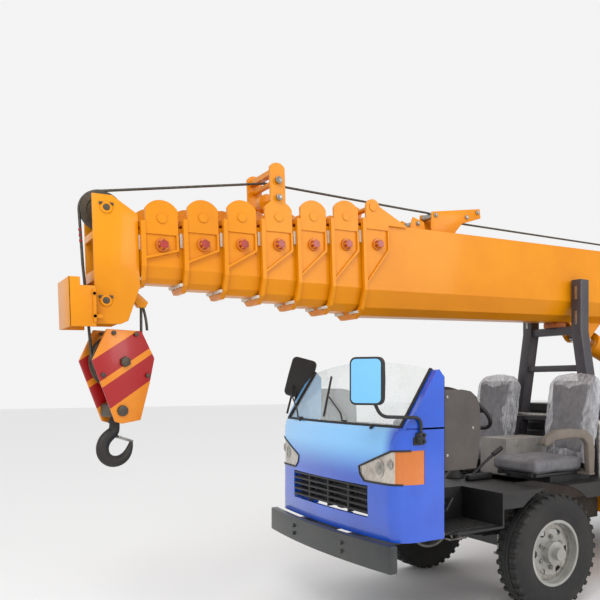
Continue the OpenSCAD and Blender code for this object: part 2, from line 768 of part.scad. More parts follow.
// Rim with its disc at y = disc, towards +Y from the tyre's middle, and its hub on the spindle
module rim(x, y, disc, hub_from, hub_to, bore) {
    w = tyre_w * 0.36;
    translate([x, y, tyre_r]) rotate([-90, 0, 0]) difference() {
        union() {
            rotate_extrude($fn = 96) polygon([[rim_r - 12, -w - 10], [rim_r + 10, -w - 10], [rim_r + 10, -w - 6],
                [rim_r + 1.5, -w - 6], [rim_r + 1.5, w + 6], [rim_r + 10, w + 6], [rim_r + 10, w + 10], [rim_r - 12, w + 10]]);
            translate([0, 0, disc - 5]) cylinder(h = 10, r = rim_r - 11);
            translate([0, 0, hub_from]) cylinder(h = hub_to - hub_from, r = 74);
        }
        for (a = [0 : 60 : 300]) rotate([0, 0, a]) translate([142, 0, disc - 10]) cylinder(h = 20, r = 24);
        translate([0, 0, hub_from - 1]) cylinder(h = hub_to - hub_from + 2, r = bore);
        translate([0, 0, disc - 10]) cylinder(h = 20, r = bore);
    }
}

module rim_front(side) {
    color("silver") mirror([0, side < 0 ? 1 : 0, 0]) {
        rim(front_axle_x, front_wheel_y, 20, -40, 78, 28.08);
        translate([front_axle_x, front_wheel_y + 110, tyre_r]) rotate([-90, 0, 0]) cylinder(h = 12, r = 40);
        difference() {
            translate([front_axle_x, front_wheel_y + 78, tyre_r]) rotate([-90, 0, 0]) cylinder(h = 33, r = 40);
            translate([front_axle_x, front_wheel_y + 70, tyre_r]) rotate([-90, 0, 0]) cylinder(h = 40, r = 30);
        }
    }
}

module rims_rear(side) {
    half = (tyre_w + twin_gap) / 2;
    color("silver") mirror([0, side < 0 ? 1 : 0, 0]) {
        rim(rear_axle_x, rear_wheel_y - half, half - 10, half - 6, half, 42.1);
        rim(rear_axle_x, rear_wheel_y + half, -half + 10, -half, 66, 42.1);
    }
}

module tyres_rear(side) {
    half = (tyre_w + twin_gap) / 2;
    mirror([0, side < 0 ? 1 : 0, 0]) for (y = [-half, half]) tyre(rear_axle_x, rear_wheel_y + y);
}

// Cab front, drawn from the plan of its outside: a wide arc with round corners
nose_r = 1530;
nose_c = cab_front - nose_r;
corner_r = 220;
corner_y = cab_half_w - corner_r;
corner_x = nose_c + sqrt(pow(nose_r - corner_r, 2) - pow(corner_y, 2));
corner_a = atan2(corner_y, corner_x - nose_c);
cab_back = 1560;

module cab_plan(d) {
    intersection() {
        translate([nose_c, 0]) circle(r = nose_r - d, $fn = 180);
        translate([cab_back - 40, -nose_r * sin(corner_a)]) square([600, 2 * nose_r * sin(corner_a)]);
    }
    for (side = [-1, 1]) translate([corner_x, side * corner_y]) circle(r = corner_r - d);
    translate([cab_back - 40, -cab_half_w + d]) square([corner_x - cab_back + 40, 2 * (cab_half_w - d)]);
}

// Height profile of the nose: columns are radius from the nose centre, z
function nose_profile(d) = [[600, 600], [nose_r - 8 - d, 600], [nose_r - 4 - d, 680], [nose_r - d, 800], [nose_r - 4 - d, 950],
    [nose_r - 16 - d, 1060], [nose_r - 34 - d, 1140], [nose_r - 62 - d, cowl_z - 14], [nose_r - 78 - d, cowl_z], [600, cowl_z]];

module cab_skin(d) {
    intersection() {
        translate([0, 0, 590]) linear_extrude(cowl_z - 590) cab_plan(d);
        translate([nose_c, 0, 0]) rotate_extrude($fn = 180) polygon(nose_profile(d));
    }
}

module cab_front() {
    slope = [[1620, cowl_z - 10], [1800, cowl_z - 10], [1800, cowl_z], [1625, screen_top], [1480, screen_top], [1620, cowl_z + 30]];
    color(cab_blue) {
        difference() {
            cab_skin(0);
            difference() {
                translate([0, 0, -0.5 * cab_t]) cab_skin(cab_t);
                block([1900, -900, cowl_z - 40], [2100, 900, cowl_z + 10]);
            }
            block([cab_back - 200, -900, 400], [cab_back, 900, 1400]);
            // grille opening
            block([1900, -470, 700], [2100, 470, 880]);
            // lamp openings
            both_sides() block([1700, 480, 900], [2100, 690, 1075]);
        }
        // pillars
        both_sides() intersection() {
            plate_xz(slope, 700, 800);
            translate([0, 0, cowl_z - 20]) linear_extrude(400) difference() {
                cab_plan(0);
                cab_plan(cab_t);
            }
        }
    }
}

// Windscreen: part of a cone that leans back between the pillars
module windscreen() {
    r0 = nose_r - 92;
    r1 = r0 - 178;
    color("lightcyan") intersection() {
        translate([nose_c, 0, 0]) rotate_extrude($fn = 180)
            polygon([[r0 - glass_t, cowl_z], [r0, cowl_z], [r1, screen_top + 15], [r1 - glass_t, screen_top + 15]]);
        block([1450, -700, cowl_z], [2100, 700, screen_top + 20]);
    }
}

// Chair platform over the wheels, foot wells beside the frame and the tunnel between them
module cab_tub() {
    w = cab_half_w - 10;
    top = 800;
    t = 12;
    well = front_axle_x + 450;
    tunnel = frame_w / 2 + 6;
    color(trim_black) {
        difference() {
            block([140, -w, 700], [well + t, w, top]);
            block([130, -w + t, 600], [well, w - t, top - t]);
            across(front_axle_x, -w - 1, w + 1, tyre_r, tyre_r + 62);
            block([well - 10, -tunnel, 600], [well + 20, tunnel, top - t]);
        }
        both_sides() {
            block([well, tunnel, floor_z], [cab_back, w, floor_z + t]);
            block([well, tunnel, floor_z], [well + t, w, top]);
            block([well, tunnel, floor_z], [cab_back, tunnel + t, top]);
            block([200, frame_w / 2 - 60, frame_top], [280, frame_w / 2, top - t]);
            block([1000, frame_w / 2 - 60, frame_top], [1080, frame_w / 2, top - t]);
        }
        block([well, -tunnel - t, top - t], [cab_back, tunnel + t, top]);
        for (side = [-1, 1]) block([260, side * chair_y - 190, top], [650, side * chair_y + 190, top + 40]);
    }
}

// Dashboard with the steering column
module dashboard() {
    w = cab_half_w - cab_t - 4;
    column = [helm_x, helm_y, helm_z];
    foot = column + 430 * [cos(helm_rake), 0, -sin(helm_rake)];
    color(pad_grey) {
        plate_xz([[1300, 960], [1270, 1050], [1290, 1160], [1340, 1240], [1410, 1300], [1500, 1335], [cab_back - 4, 1340],
            [cab_back - 4, 1190], [1630, 1180], [1630, 960]], w, w - 150);
        plate_xz([[1420, 980], [1400, 1060], [1430, 1150], [1500, 1190], [1630, 1180], [1630, 980]], w - 150, -w);
        bar(column + (24 + run) * [cos(helm_rake), 0, -sin(helm_rake)], foot, 32);
        block([1300, -60, floor_z + 12], [1420, 60, floor_z + 30]);
    }
}

module steering_wheel() {
    color(trim_black) translate([helm_x, helm_y, helm_z]) rotate([0, helm_rake - 90, 0]) {
        rotate_extrude($fn = 72) translate([helm_d / 2 - 14, 0]) circle(r = 14);
        translate([0, 0, -24]) cylinder(h = 34, r = 48);
        for (a = [0, 120, 240]) rotate([0, 0, a]) block([-15, 40, -14], [15, helm_d / 2 - 20, 2]);
    }
}

// Chair: soft cushion and back on a base
module chair(side) {
    y = side * chair_y;
    color("whitesmoke") {
        block([330, y - 235, 860], [830, y + 235, 960]);
        translate([330, y - 235, 915]) rotate([0, -9, 0]) translate([-110, 0, 0]) cube([110, 470, 650]);
    }
    color(trim_black) block([300, y - 190, 840], [780, y + 190, 860]);
}

module driver_chair() {
    chair(1);
    color(pad_grey) slab_xz(chair_y + 250, chair_y + 300)
        difference() {
            translate([230, 850]) square([350, 290]);
            translate([200, 820]) square([320, 255]);
        }
    color(pad_grey) block([520, chair_y + 185, 842], [580, chair_y + 300, 856]);
}

module passenger_chair() {
    chair(-1);
}

module engine() {
    color(plate_grey) block([-270, -230, 420], [640, 230, 760]);
}

module engine_cover() {
    color(pad_grey) block([200, -140, 800], [620, 140, 1060]);
}

// Cooler and hydraulic pack in a louvred housing behind the chairs
module power_pack() {
    color(trim_black) difference() {
        block([-430, -560, frame_top], [-110, 560, 1300]);
        for (i = [0 : 5]) block([-120, -500, 860 + 70 * i], [-100, 500, 890 + 70 * i]);
        block([-410, -540, frame_top + 14], [-130, 540, 1280]);
    }
}

module lamps() {
    color("whitesmoke") {
        both_sides() intersection() {
            translate([0, 0, 900]) linear_extrude(175) difference() {
                cab_plan(3);
                cab_plan(cab_t + 30);
            }
            block([1700, 480, 900], [2100, 690, 1075]);
        }
        both_sides() block([frame_rear - 10, 640, 640], [frame_rear + 30, 820, 730]);
    }
    color(plate_grey) both_sides() block([frame_rear, 340, 690], [frame_rear + 20, 640, 720]);
}

module bumper() {
    color(plate_grey) {
        intersection() {
            difference() {
                translate([nose_c + 66, 0, 440]) cylinder(h = 150, r = nose_r, $fn = 180);
                translate([nose_c + 66, 0, 400]) cylinder(h = 250, r = nose_r - 50, $fn = 180);
            }
            block([1500, -760, 430], [2200, 760, 600]);
        }
        both_sides() block([frame_front - 90, frame_w / 2 - 60, 480], [nose_c + 66 + nose_r - 90, frame_w / 2, 585]);
        both_sides() block([frame_front - 90, frame_w / 2 - 60, 480], [frame_front, frame_w / 2, frame_bottom]);
    }
}

// Mirrors on bent arms at the front corners
module mirrors() {
    color(trim_black) {
        foot = [1800, 700, 1140];
        for (side = [1, -1]) mirror([0, side < 0 ? 1 : 0, 0]) {
            difference() {
                block([foot[0] - 30, foot[1] - 25, foot[2] - 35], [foot[0] + 50, foot[1] + 40, foot[2] + 35]);
                cab_skin(0);
            }
            translate(foot + [20, 10, 0]) cylinder(h = 142, r = 10);
            translate(foot + [20, 10, 130]) rotate([0, 80, 11]) cylinder(h = 290, r = 9);
            translate(foot + [300, 64, 176]) cylinder(h = 100, r = 10);
            translate(foot + [300, 64, 390]) rotate([0, 0, 60]) block([-15, -80, -125], [15, 80, 125]);
        }
    }
}

// Boom rest: splayed posts with horns, rungs and a rubber saddle
module boom_rest() {
    s = post_s;
    top_y = base_w / 2 + 36;
    knee_z = 1860;
    foot_y = 500;
    foot_z = frame_top;
    saddle_z = boom_point(rest_x - boom_pivot_x, boom_rise - base_h / 2)[2];
    color(plate_grey) {
        both_sides() slab_yz(rest_x - s / 2, rest_x + s / 2)
            polygon([[top_y, horn_z], [top_y, knee_z], [foot_y - s, foot_z], [foot_y, foot_z], [top_y + s, knee_z], [top_y + s, horn_z]]);
        block([rest_x - 30, -top_y - 10, knee_z - 20], [rest_x + 30, top_y + 10, knee_z + 40]);
        block([rest_x - 30, -top_y - 90, 1555], [rest_x + 30, top_y + 90, 1605]);
        block([rest_x - 30, -top_y - 190, 1160], [rest_x + 30, top_y + 190, 1210]);
        block([rest_x - 60, -foot_y - 20, foot_z - 0], [rest_x + 60, foot_y + 20, foot_z + 6]);
        block([rest_x - 50, -75, knee_z + 39], [rest_x + 50, 75, saddle_z - 2]);
    }
}

module deck() {
    w = deck_half_w;
    color(plate_grey) difference() {
        union() {
            block([-3050, -w, frame_top], [-650, w, frame_top + deck_t]);
            both_sides() block([-3050, w - deck_t, frame_top - 70], [-650, w, frame_top]);
            both_sides() for (x = [-2780, -1820]) block([x, 380, 500], [x + deck_t, w - deck_t, frame_top]);
        }
        block([slew_x - 550, -430, frame_top - 10], [slew_x + 550, 430, frame_top + 20]);
    }
}

module tanks() {
    z0 = 400;
    color(plate_grey) {
        block([-1600, -940, z0], [-760, -420, 740]);
        for (x = [-1500, -900]) block([x, -420, 640], [x + 60, -340, 700]);
    }
    color("silver") {
        translate([-1600, 670, 570]) rotate([0, 90, 0]) cylinder(h = 840, r = 190);
        for (x = [-1500, -900]) block([x, 340, 640], [x + 60, 520, 700]);
    }
}

// Transverse box with a cell for each side's beam
module outrigger_box(x) {
    difference() {
        block([x - cell_w, -box_half, box_bottom], [x + cell_w, box_half, box_top]);
        block([x - cell_w + box_wall, -box_half - 1, box_bottom + box_wall], [x - box_wall / 2, box_half - 60, box_top - box_wall]);
        block([x + box_wall / 2, -box_half + 60, box_bottom + box_wall], [x + cell_w - box_wall, box_half + 1, box_top - box_wall]);
    }
}

module outrigger_boxes() {
    color(boom_yellow) {
        outrigger_box(front_box_x);
        outrigger_box(rear_box_x);
    }
}

// Beam that slides out of its box and carries the leg's housing; side 1 is the driver's
module outrigger_beam(box_x, side) {
    x = box_x + side * (cell_w / 2);
    inner = -box_half + 120;
    color(boom_yellow) mirror([0, side < 0 ? 1 : 0, 0]) difference() {
        union() {
            difference() {
                block([x - beam_w / 2, inner, beam_z], [x + beam_w / 2, leg_y - leg_s / 2 + 4, beam_z + beam_h]);
                block([x - beam_w / 2 + 8, inner - 1, beam_z + 8], [x + beam_w / 2 - 8, leg_y - leg_s / 2 - 10, beam_z + beam_h - 8]);
            }
            block([x - leg_s / 2, leg_y - leg_s / 2, leg_bottom], [x + leg_s / 2, leg_y + leg_s / 2, leg_top]);
        }
        translate([x, leg_y, leg_bottom - 1]) cylinder(h = leg_top - leg_bottom - 20, r = 42);
    }
}

module outrigger_leg(box_x, side) {
    x = box_x + side * (cell_w / 2);
    color("silver") mirror([0, side < 0 ? 1 : 0, 0]) {
        translate([x, leg_y, leg_bottom - 30]) cylinder(h = leg_top - leg_bottom - 60, r = 42 - run);
        translate([x, leg_y, leg_bottom - 60]) cylinder(h = 31, r1 = foot_r, r2 = 50);
    }
}

module slew_base() {
    color(plate_grey) {
        block([slew_x - 540, -420, frame_top], [slew_x + 540, 420, frame_top + 20]);
        translate([slew_x, 0, frame_top + 19]) cylinder(h = slew_h + 1, r = slew_r);
        for (a = [0 : 30 : 330]) rotate([0, 0, 0]) translate([slew_x, 0, frame_top + 19]) rotate([0, 0, a])
            block([slew_r - 10, -8, 0], [slew_r + 70, 8, 50]);
    }
}

chassis_frame();
front_axle();
rear_axle();
engine();
cab_front();
cab_tub();
dashboard();
windscreen();
lamps();
bumper();
driver_chair();
passenger_chair();
engine_cover();
mirrors();
power_pack();
boom_rest();
deck();
tanks();
outrigger_boxes();
slew_base();
knuckle(1);  // knuckle_left
knuckle(-1);  // knuckle_right
tie_rod();
steering_wheel();
tyre(front_axle_x, front_wheel_y);  // tyre_front_left
rim_front(1);  // rim_front_left
tyre(front_axle_x, -front_wheel_y);  // tyre_front_right
rim_front(-1);  // rim_front_right
tyres_rear(1);  // tyres_rear_left
rims_rear(1);  // rims_rear_left
tyres_rear(-1);  // tyres_rear_right
rims_rear(-1);  // rims_rear_right
turret();
control_station();
winch_drum();
luff_barrel();
luff_rod();
boom_base();
rope_presser();
boom_section(1);  // section_2
boom_section(2);  // section_3
boom_section(3);  // section_4
boom_section(4);  // section_5
boom_section(5);  // section_6
boom_section(6);  // section_7
color(boom_yellow) in_boom() section_tube(7);  // section_8
boom_head();
rope_falls();
hook_block();
hook();
outrigger_beam(front_box_x, 1);  // beam_front_left
outrigger_beam(front_box_x, -1);  // beam_front_right
outrigger_beam(rear_box_x, 1);  // beam_rear_left
outrigger_beam(rear_box_x, -1);  // beam_rear_right
outrigger_leg(front_box_x, 1);  // leg_front_left
outrigger_leg(front_box_x, -1);  // leg_front_right
outrigger_leg(rear_box_x, 1);  // leg_rear_left
outrigger_leg(rear_box_x, -1);  // leg_rear_right
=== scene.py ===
# Looks of a small truck crane with an open half cab and a telescopic boom, in metres

import math

import bpy
from mathutils import Matrix, Vector


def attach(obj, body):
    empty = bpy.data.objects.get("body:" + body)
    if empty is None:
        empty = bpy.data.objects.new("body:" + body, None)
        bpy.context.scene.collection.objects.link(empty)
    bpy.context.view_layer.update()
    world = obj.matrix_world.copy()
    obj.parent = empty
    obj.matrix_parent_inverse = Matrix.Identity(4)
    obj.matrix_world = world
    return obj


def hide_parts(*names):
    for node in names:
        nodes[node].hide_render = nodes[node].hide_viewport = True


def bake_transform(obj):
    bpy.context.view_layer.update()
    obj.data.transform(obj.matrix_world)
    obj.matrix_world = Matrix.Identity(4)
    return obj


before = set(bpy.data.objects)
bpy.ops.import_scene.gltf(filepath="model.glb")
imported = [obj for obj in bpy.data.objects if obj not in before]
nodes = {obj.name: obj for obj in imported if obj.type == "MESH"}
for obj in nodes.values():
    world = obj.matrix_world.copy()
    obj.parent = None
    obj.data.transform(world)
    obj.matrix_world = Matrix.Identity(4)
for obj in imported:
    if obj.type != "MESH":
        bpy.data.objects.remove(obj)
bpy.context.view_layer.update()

# Places that several sections share: the axles, the axis that the cab's front curves round,
# the slewing ring, the boom's pivot, the winch drum and the outriggers
front_axle_x, rear_axle_x, wheel_z = 0.75, -2.3, 0.375
nose_axis_x = -3.99
ring_x = -2.05
boom_pivot = (-2.8, 0, 2.25)
drum_x, drum_z = -3.2, 1.64
front_rig_x, rear_rig_x = -0.46, -3.24

# Camera at chest height in front of the driver's side, level, with a shifted lens,
# since the uprights of the photo stay upright
camera_data = bpy.data.cameras.new("camera")
camera_data.lens = 42
camera_data.sensor_width = 36
camera_data.shift_x = -0.2117
camera_data.shift_y = 0.1417
camera = bpy.data.objects.new("camera", camera_data)
camera.location = (4.07, 3.86, 1.45)
camera.rotation_euler = (math.radians(90), 0, math.radians(143.6))
bpy.context.scene.collection.objects.link(camera)
bpy.context.scene.camera = camera

# Plain pale floor and soft studio light from the sky and two large lamps
world = bpy.data.worlds.new("studio")
world.use_nodes = True
world.node_tree.nodes["Background"].inputs["Color"].default_value = (1, 1, 1, 1)
world.node_tree.nodes["Background"].inputs["Strength"].default_value = 0.9
bpy.context.scene.world = world
bpy.context.scene.view_settings.view_transform = "Standard"
for lamp_name, place, turn, energy, size in (
    ("key", (6.5, 6.0, 7.5), (40, 0, 132), 330, 4.0),
    ("side", (-3.0, 8.0, 5.0), (58, 0, 200), 190, 4.0),
):
    bpy.ops.object.light_add(type="AREA", location=place, rotation=[math.radians(a) for a in turn])
    bpy.context.object.name = lamp_name
    bpy.context.object.data.energy = energy
    bpy.context.object.data.size = size


def deselect():
    bpy.ops.object.select_all(action="DESELECT")


deselect()
bpy.ops.mesh.primitive_plane_add(size=90, location=(0, 0, -0.002))
floor = bpy.context.object
floor.name = "floor"
floor_paint = bpy.data.materials.new("floor_paint")
floor_paint.use_nodes = True
floor_paint.node_tree.nodes["Principled BSDF"].inputs["Base Color"].default_value = (0.86, 0.86, 0.86, 1)
floor_paint.node_tree.nodes["Principled BSDF"].inputs["Roughness"].default_value = 0.9
floor.data.materials.append(floor_paint)


# Rope's short tail below the wedge socket: seven-strand wire rope, cut and bound,
# which comes back out of the socket beside the live rope and hangs free
def colour(red, green, blue):
    return tuple(
        ((v / 255 + 0.055) / 1.055) ** 2.4 if v > 10 else v / 255 / 12.92 for v in (red, green, blue)
    )


def added(tree, kind, values, **links):
    """A new node of that kind, with values set by name and outputs of other nodes linked into it."""
    node = tree.nodes.new(kind)
    for name, value in values.items():
        node.inputs[name].default_value = value
    for name, source in links.items():
        tree.links.new(source, node.inputs[name])
    return node


def finish_of(
    name, base, second, rough, metal=0.0, clear=0.0, cloud=2.0, pits=0.0, pit_size=90.0, edge=0.0
):
    """A finish with a soft change of colour, uneven gloss, a fine surface and rounded edges."""
    finish = bpy.data.materials.new(name)
    finish.use_nodes = True
    tree = finish.node_tree
    shader = tree.nodes["Principled BSDF"]
    where = tree.nodes.new("ShaderNodeTexCoord").outputs["Object"]
    drift = added(
        tree, "ShaderNodeTexNoise", {"Scale": cloud, "Detail": 8, "Roughness": 0.65}, Vector=where
    ).outputs["Fac"]
    share = added(tree, "ShaderNodeMapRange", {"From Min": 0.38, "From Max": 0.72}, Value=drift)
    mix = tree.nodes.new("ShaderNodeMix")
    mix.name = "colour"
    mix.data_type = "RGBA"
    mix.inputs[6].default_value = (*base, 1)
    mix.inputs[7].default_value = (*second, 1)
    tree.links.new(share.outputs["Result"], mix.inputs[0])
    tree.links.new(mix.outputs[2], shader.inputs["Base Color"])
    gloss = added(
        tree, "ShaderNodeMapRange", {"To Min": rough * 0.8, "To Max": min(1.0, rough * 1.25)}, Value=drift
    )
    tree.links.new(gloss.outputs["Result"], shader.inputs["Roughness"])
    shader.inputs["Metallic"].default_value = metal
    shader.inputs["Coat Weight"].default_value = clear
    shader.inputs["Coat Roughness"].default_value = 0.08
    normal = None
    if edge:
        corner = tree.nodes.new("ShaderNodeBevel")
        corner.samples = 4
        corner.inputs["Radius"].default_value = edge
        normal = corner.outputs["Normal"]
    if pits:
        grain = added(tree, "ShaderNodeTexNoise", {"Scale": pit_size, "Detail": 4}, Vector=where)
        bump = added(
            tree, "ShaderNodeBump", {"Strength": pits, "Distance": 0.002}, Height=grain.outputs["Fac"]
        )
        if normal:
            tree.links.new(normal, bump.inputs["Normal"])
        normal = bump.outputs["Normal"]
    if normal:
        tree.links.new(normal, shader.inputs["Normal"])
    return finish


def placed(centre, angle=0, axis="Z"):
    """The matrix that turns a piece by an angle in degrees and moves it to its centre."""
    return Matrix.Translation(centre) @ Matrix.Rotation(math.radians(angle), 4, axis)


def pick(piece):
    deselect()
    piece.select_set(True)
    bpy.context.view_layer.objects.active = piece
    return piece


def tube(name, points, radius, sides=10):
    """A round bar or hose along points, closed at both ends."""
    line = bpy.data.curves.new(name, "CURVE")
    line.dimensions = "3D"
    line.bevel_depth = radius
    line.bevel_resolution = max(1, sides // 4)
    line.use_fill_caps = True
    spline = line.splines.new("POLY")
    spline.points.add(len(points) - 1)
    for knot, place in zip(spline.points, points):
        knot.co = (*place, 1)
    piece = bpy.data.objects.new(name, line)
    bpy.context.scene.collection.objects.link(piece)
    pick(piece)
    bpy.ops.object.convert(target="MESH")
    piece = bpy.context.object
    bpy.ops.object.shade_smooth_by_angle(angle=math.radians(40))
    return piece


def rounded_way(points, bend, steps=6):
    """The points with each corner turned into a bend of that radius."""
    way = [Vector(points[0])]
    for before, corner, after in zip(points, points[1:], points[2:]):
        before, corner, after = Vector(before), Vector(corner), Vector(after)
        into = (before - corner).normalized()
        out = (after - corner).normalized()
        near = min(bend, (before - corner).length * 0.45, (after - corner).length * 0.45)
        start, end = corner + into * near, corner + out * near
        for i in range(steps + 1):
            t = i / steps
            way.append(start * (1 - t) ** 2 + corner * 2 * t * (1 - t) + end * t ** 2)
    way.append(Vector(points[-1]))
    return way


def repaint(finish, *names):
    """Gives nodes of the record one finish all over."""
    for name in names:
        nodes[name].data.materials.clear()
        nodes[name].data.materials.append(finish)


def fit(piece, body, slot_name, *finishes):
    """Gives a finished piece its finish and the body that it moves with; slot_name is not used."""
    piece.data.materials.clear()
    for finish in finishes:
        piece.data.materials.append(finish)
    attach(piece, body)
    return piece


rope_steel = finish_of(
    "rope_steel", colour(96, 92, 84), colour(58, 54, 48), 0.45, metal=0.7, cloud=90, pits=0.5,
    pit_size=420
)
tail_points = []
for i in range(17):
    t = i / 16
    tail_points.append(
        (3.0785 - 0.024 * t - 0.004 * math.sin(t * math.pi), -0.030 - 0.008 * t, 1.866 - 0.125 * t)
    )
rope_tail = fit(tube("rope_tail", tail_points, 0.007, 12), "section_8", "steel", rope_steel)


# Chassis, axles, deck and tanks: welded and rolled steel in satin black chassis paint,
# with a little road dust, and bright clamps at the springs
frame_black = finish_of(
    "frame_black", colour(38, 42, 44), colour(62, 62, 58), 0.42, clear=0.15, cloud=3.5, pits=0.25,
    pit_size=60, edge=0.002
)
cast_iron = finish_of(
    "cast_iron", colour(52, 50, 48), colour(74, 68, 60), 0.7, metal=0.3, cloud=9, pits=0.8, pit_size=110,
    edge=0.002
)
repaint(
    frame_black, "chassis_frame", "front_axle", "rear_axle", "bumper", "deck", "slew_base", "knuckle_left",
    "knuckle_right", "tie_rod", "power_pack", "tanks"
)
repaint(cast_iron, "engine")


def soften(piece, width, steps, angle=None, weighted=False):
    """Rounds all edges, those sharper than an angle, or those that carry a weight."""
    soft = piece.modifiers.new("soft", "BEVEL")
    soft.width = width
    soft.segments = steps
    if angle:
        soft.limit_method = "ANGLE"
        soft.angle_limit = math.radians(angle)
    if weighted:
        soft.limit_method = "WEIGHT"
    bpy.ops.object.modifier_apply(modifier="soft")


def block(name, low, high, edge=0.0, steps=2, turn=(0, 0, 0), taper=None):
    """A block from its lowest to its highest corner, with softened edges; taper shrinks its top face."""
    deselect()
    middle = [(a + b) / 2 for a, b in zip(low, high)]
    bpy.ops.mesh.primitive_cube_add(size=1, location=middle)
    piece = bpy.context.object
    piece.name = name
    piece.data.name = name
    piece.scale = [abs(b - a) for a, b in zip(low, high)]
    bpy.ops.object.transform_apply(location=False, rotation=False, scale=True)
    if taper:
        for corner in piece.data.vertices:
            if corner.co.z > 0:
                corner.co.x *= taper
                corner.co.y *= taper
    if edge:
        soften(piece, edge, steps)
    piece.rotation_euler = [math.radians(a) for a in turn]
    bpy.ops.object.transform_apply(location=True, rotation=True, scale=True)
    bpy.ops.object.shade_smooth_by_angle(angle=math.radians(35))
    return piece


def disc(name, centre, radius, depth, axis="Z", edge=0.0, sides=32, steps=2, top=None):
    """A round or six-sided piece, its axis along X, Y or Z, with softened rims."""
    deselect()
    turn = {"X": (0, math.pi / 2, 0), "Y": (-math.pi / 2, 0, 0), "Z": (0, 0, 0)}[axis]
    if top is None:
        bpy.ops.mesh.primitive_cylinder_add(vertices=sides, radius=radius, depth=depth, location=centre)
    else:
        bpy.ops.mesh.primitive_cone_add(
            vertices=sides, radius1=radius, radius2=top, depth=depth, location=centre
        )
    piece = bpy.context.object
    piece.name = name
    piece.data.name = name
    if edge:
        soften(piece, edge, steps, 50)
    piece.rotation_euler = turn
    bpy.ops.object.transform_apply(location=True, rotation=True, scale=True)
    bpy.ops.object.shade_smooth_by_angle(angle=math.radians(35))
    return piece


def joined(name, parts):
    deselect()
    for part in parts:
        part.select_set(True)
    bpy.context.view_layer.objects.active = parts[0]
    if len(parts) > 1:
        bpy.ops.object.join()
    parts[0].name = name
    parts[0].data.name = name
    return parts[0]


def copied(piece, name, change=None):
    """A copy with its own mesh, moved or turned by a matrix."""
    twin = piece.copy()
    twin.data = piece.data.copy()
    twin.name = name
    bpy.context.scene.collection.objects.link(twin)
    if change is not None:
        twin.data.transform(change)
    return twin


def mirrored(piece, name):
    """The same piece for the other side of the truck."""
    twin = copied(piece, name, Matrix.Scale(-1, 4, (0, 1, 0)))
    pick(twin)
    bpy.ops.object.mode_set(mode="EDIT")
    bpy.ops.mesh.select_all(action="SELECT")
    bpy.ops.mesh.flip_normals()
    bpy.ops.object.mode_set(mode="OBJECT")
    return twin


bright_steel = finish_of(
    "bright_steel", colour(170, 168, 162), colour(120, 116, 108), 0.32, metal=0.9, cloud=30, pits=0.2,
    pit_size=200
)
spring_bolts = []
for x, z in ((front_axle_x, 0.36), (rear_axle_x, wheel_z)):
    for y in (-0.30, 0.30):
        for dx in (-0.052, 0.052):
            for dy in (-0.042, 0.042):
                spring_bolts.append(
                    tube("u_bolt", [(x + dx, y + dy, z - 0.06), (x + dx, y + dy, z + 0.14)], 0.008, 8)
                )
        spring_bolts.append(
            block("clamp_plate", (x - 0.08, y - 0.06, z - 0.075), (x + 0.08, y + 0.06, z - 0.06), 0.003)
        )
fit(joined("spring_clamps", spring_bolts), "chassis", "steel", bright_steel)

# Propeller shaft: a drawn steel tube with a forged joint welded to each end,
# painted like the frame, between the engine and the rear axle
shaft = joined("propeller_shaft", [
    tube("shaft_tube", [(-0.36, 0, 0.52), (-2.02, 0, 0.385)], 0.042, 16),
    disc("front_joint", (-0.32, 0, 0.523), 0.062, 0.09, "X", 0.006),
    disc("rear_joint", (-2.04, 0, 0.383), 0.062, 0.06, "X", 0.006),
])
fit(shaft, "chassis", "frame_black", frame_black)


# Tyres: moulded rubber with a block tread and ribbed walls, on pressed steel rims;
# the rims are dished discs welded to rolled rings, held by six nuts
tyre_rubber = finish_of(
    "tyre_rubber", colour(28, 28, 29), colour(50, 48, 45), 0.78, cloud=7, pits=0.5, pit_size=140
)
rim_grey = finish_of(
    "rim_grey", colour(168, 168, 164), colour(140, 138, 132), 0.38, metal=0.35, clear=0.2, cloud=6,
    pits=0.15, edge=0.002
)


def lathed(name, outline, centre, steps=64):
    """A ring turned round an axis along Y: outline holds radius and y from the centre."""
    ring = bpy.data.meshes.new(name)
    ring.from_pydata(
        [(radius, y, 0) for radius, y in outline], [(i, i + 1) for i in range(len(outline) - 1)], []
    )
    piece = bpy.data.objects.new(name, ring)
    bpy.context.scene.collection.objects.link(piece)
    pick(piece)
    spin = piece.modifiers.new("spin", "SCREW")
    spin.axis = "Y"
    spin.steps = steps
    spin.render_steps = steps
    spin.use_merge_vertices = True
    bpy.ops.object.modifier_apply(modifier="spin")
    bpy.ops.object.mode_set(mode="EDIT")
    bpy.ops.mesh.select_all(action="SELECT")
    bpy.ops.mesh.remove_doubles(threshold=0.0002)
    bpy.ops.mesh.normals_make_consistent(inside=False)
    bpy.ops.object.mode_set(mode="OBJECT")
    piece.location = centre
    bpy.ops.object.transform_apply(location=True, rotation=True, scale=True)
    bpy.ops.object.shade_smooth_by_angle(angle=math.radians(32))
    return piece


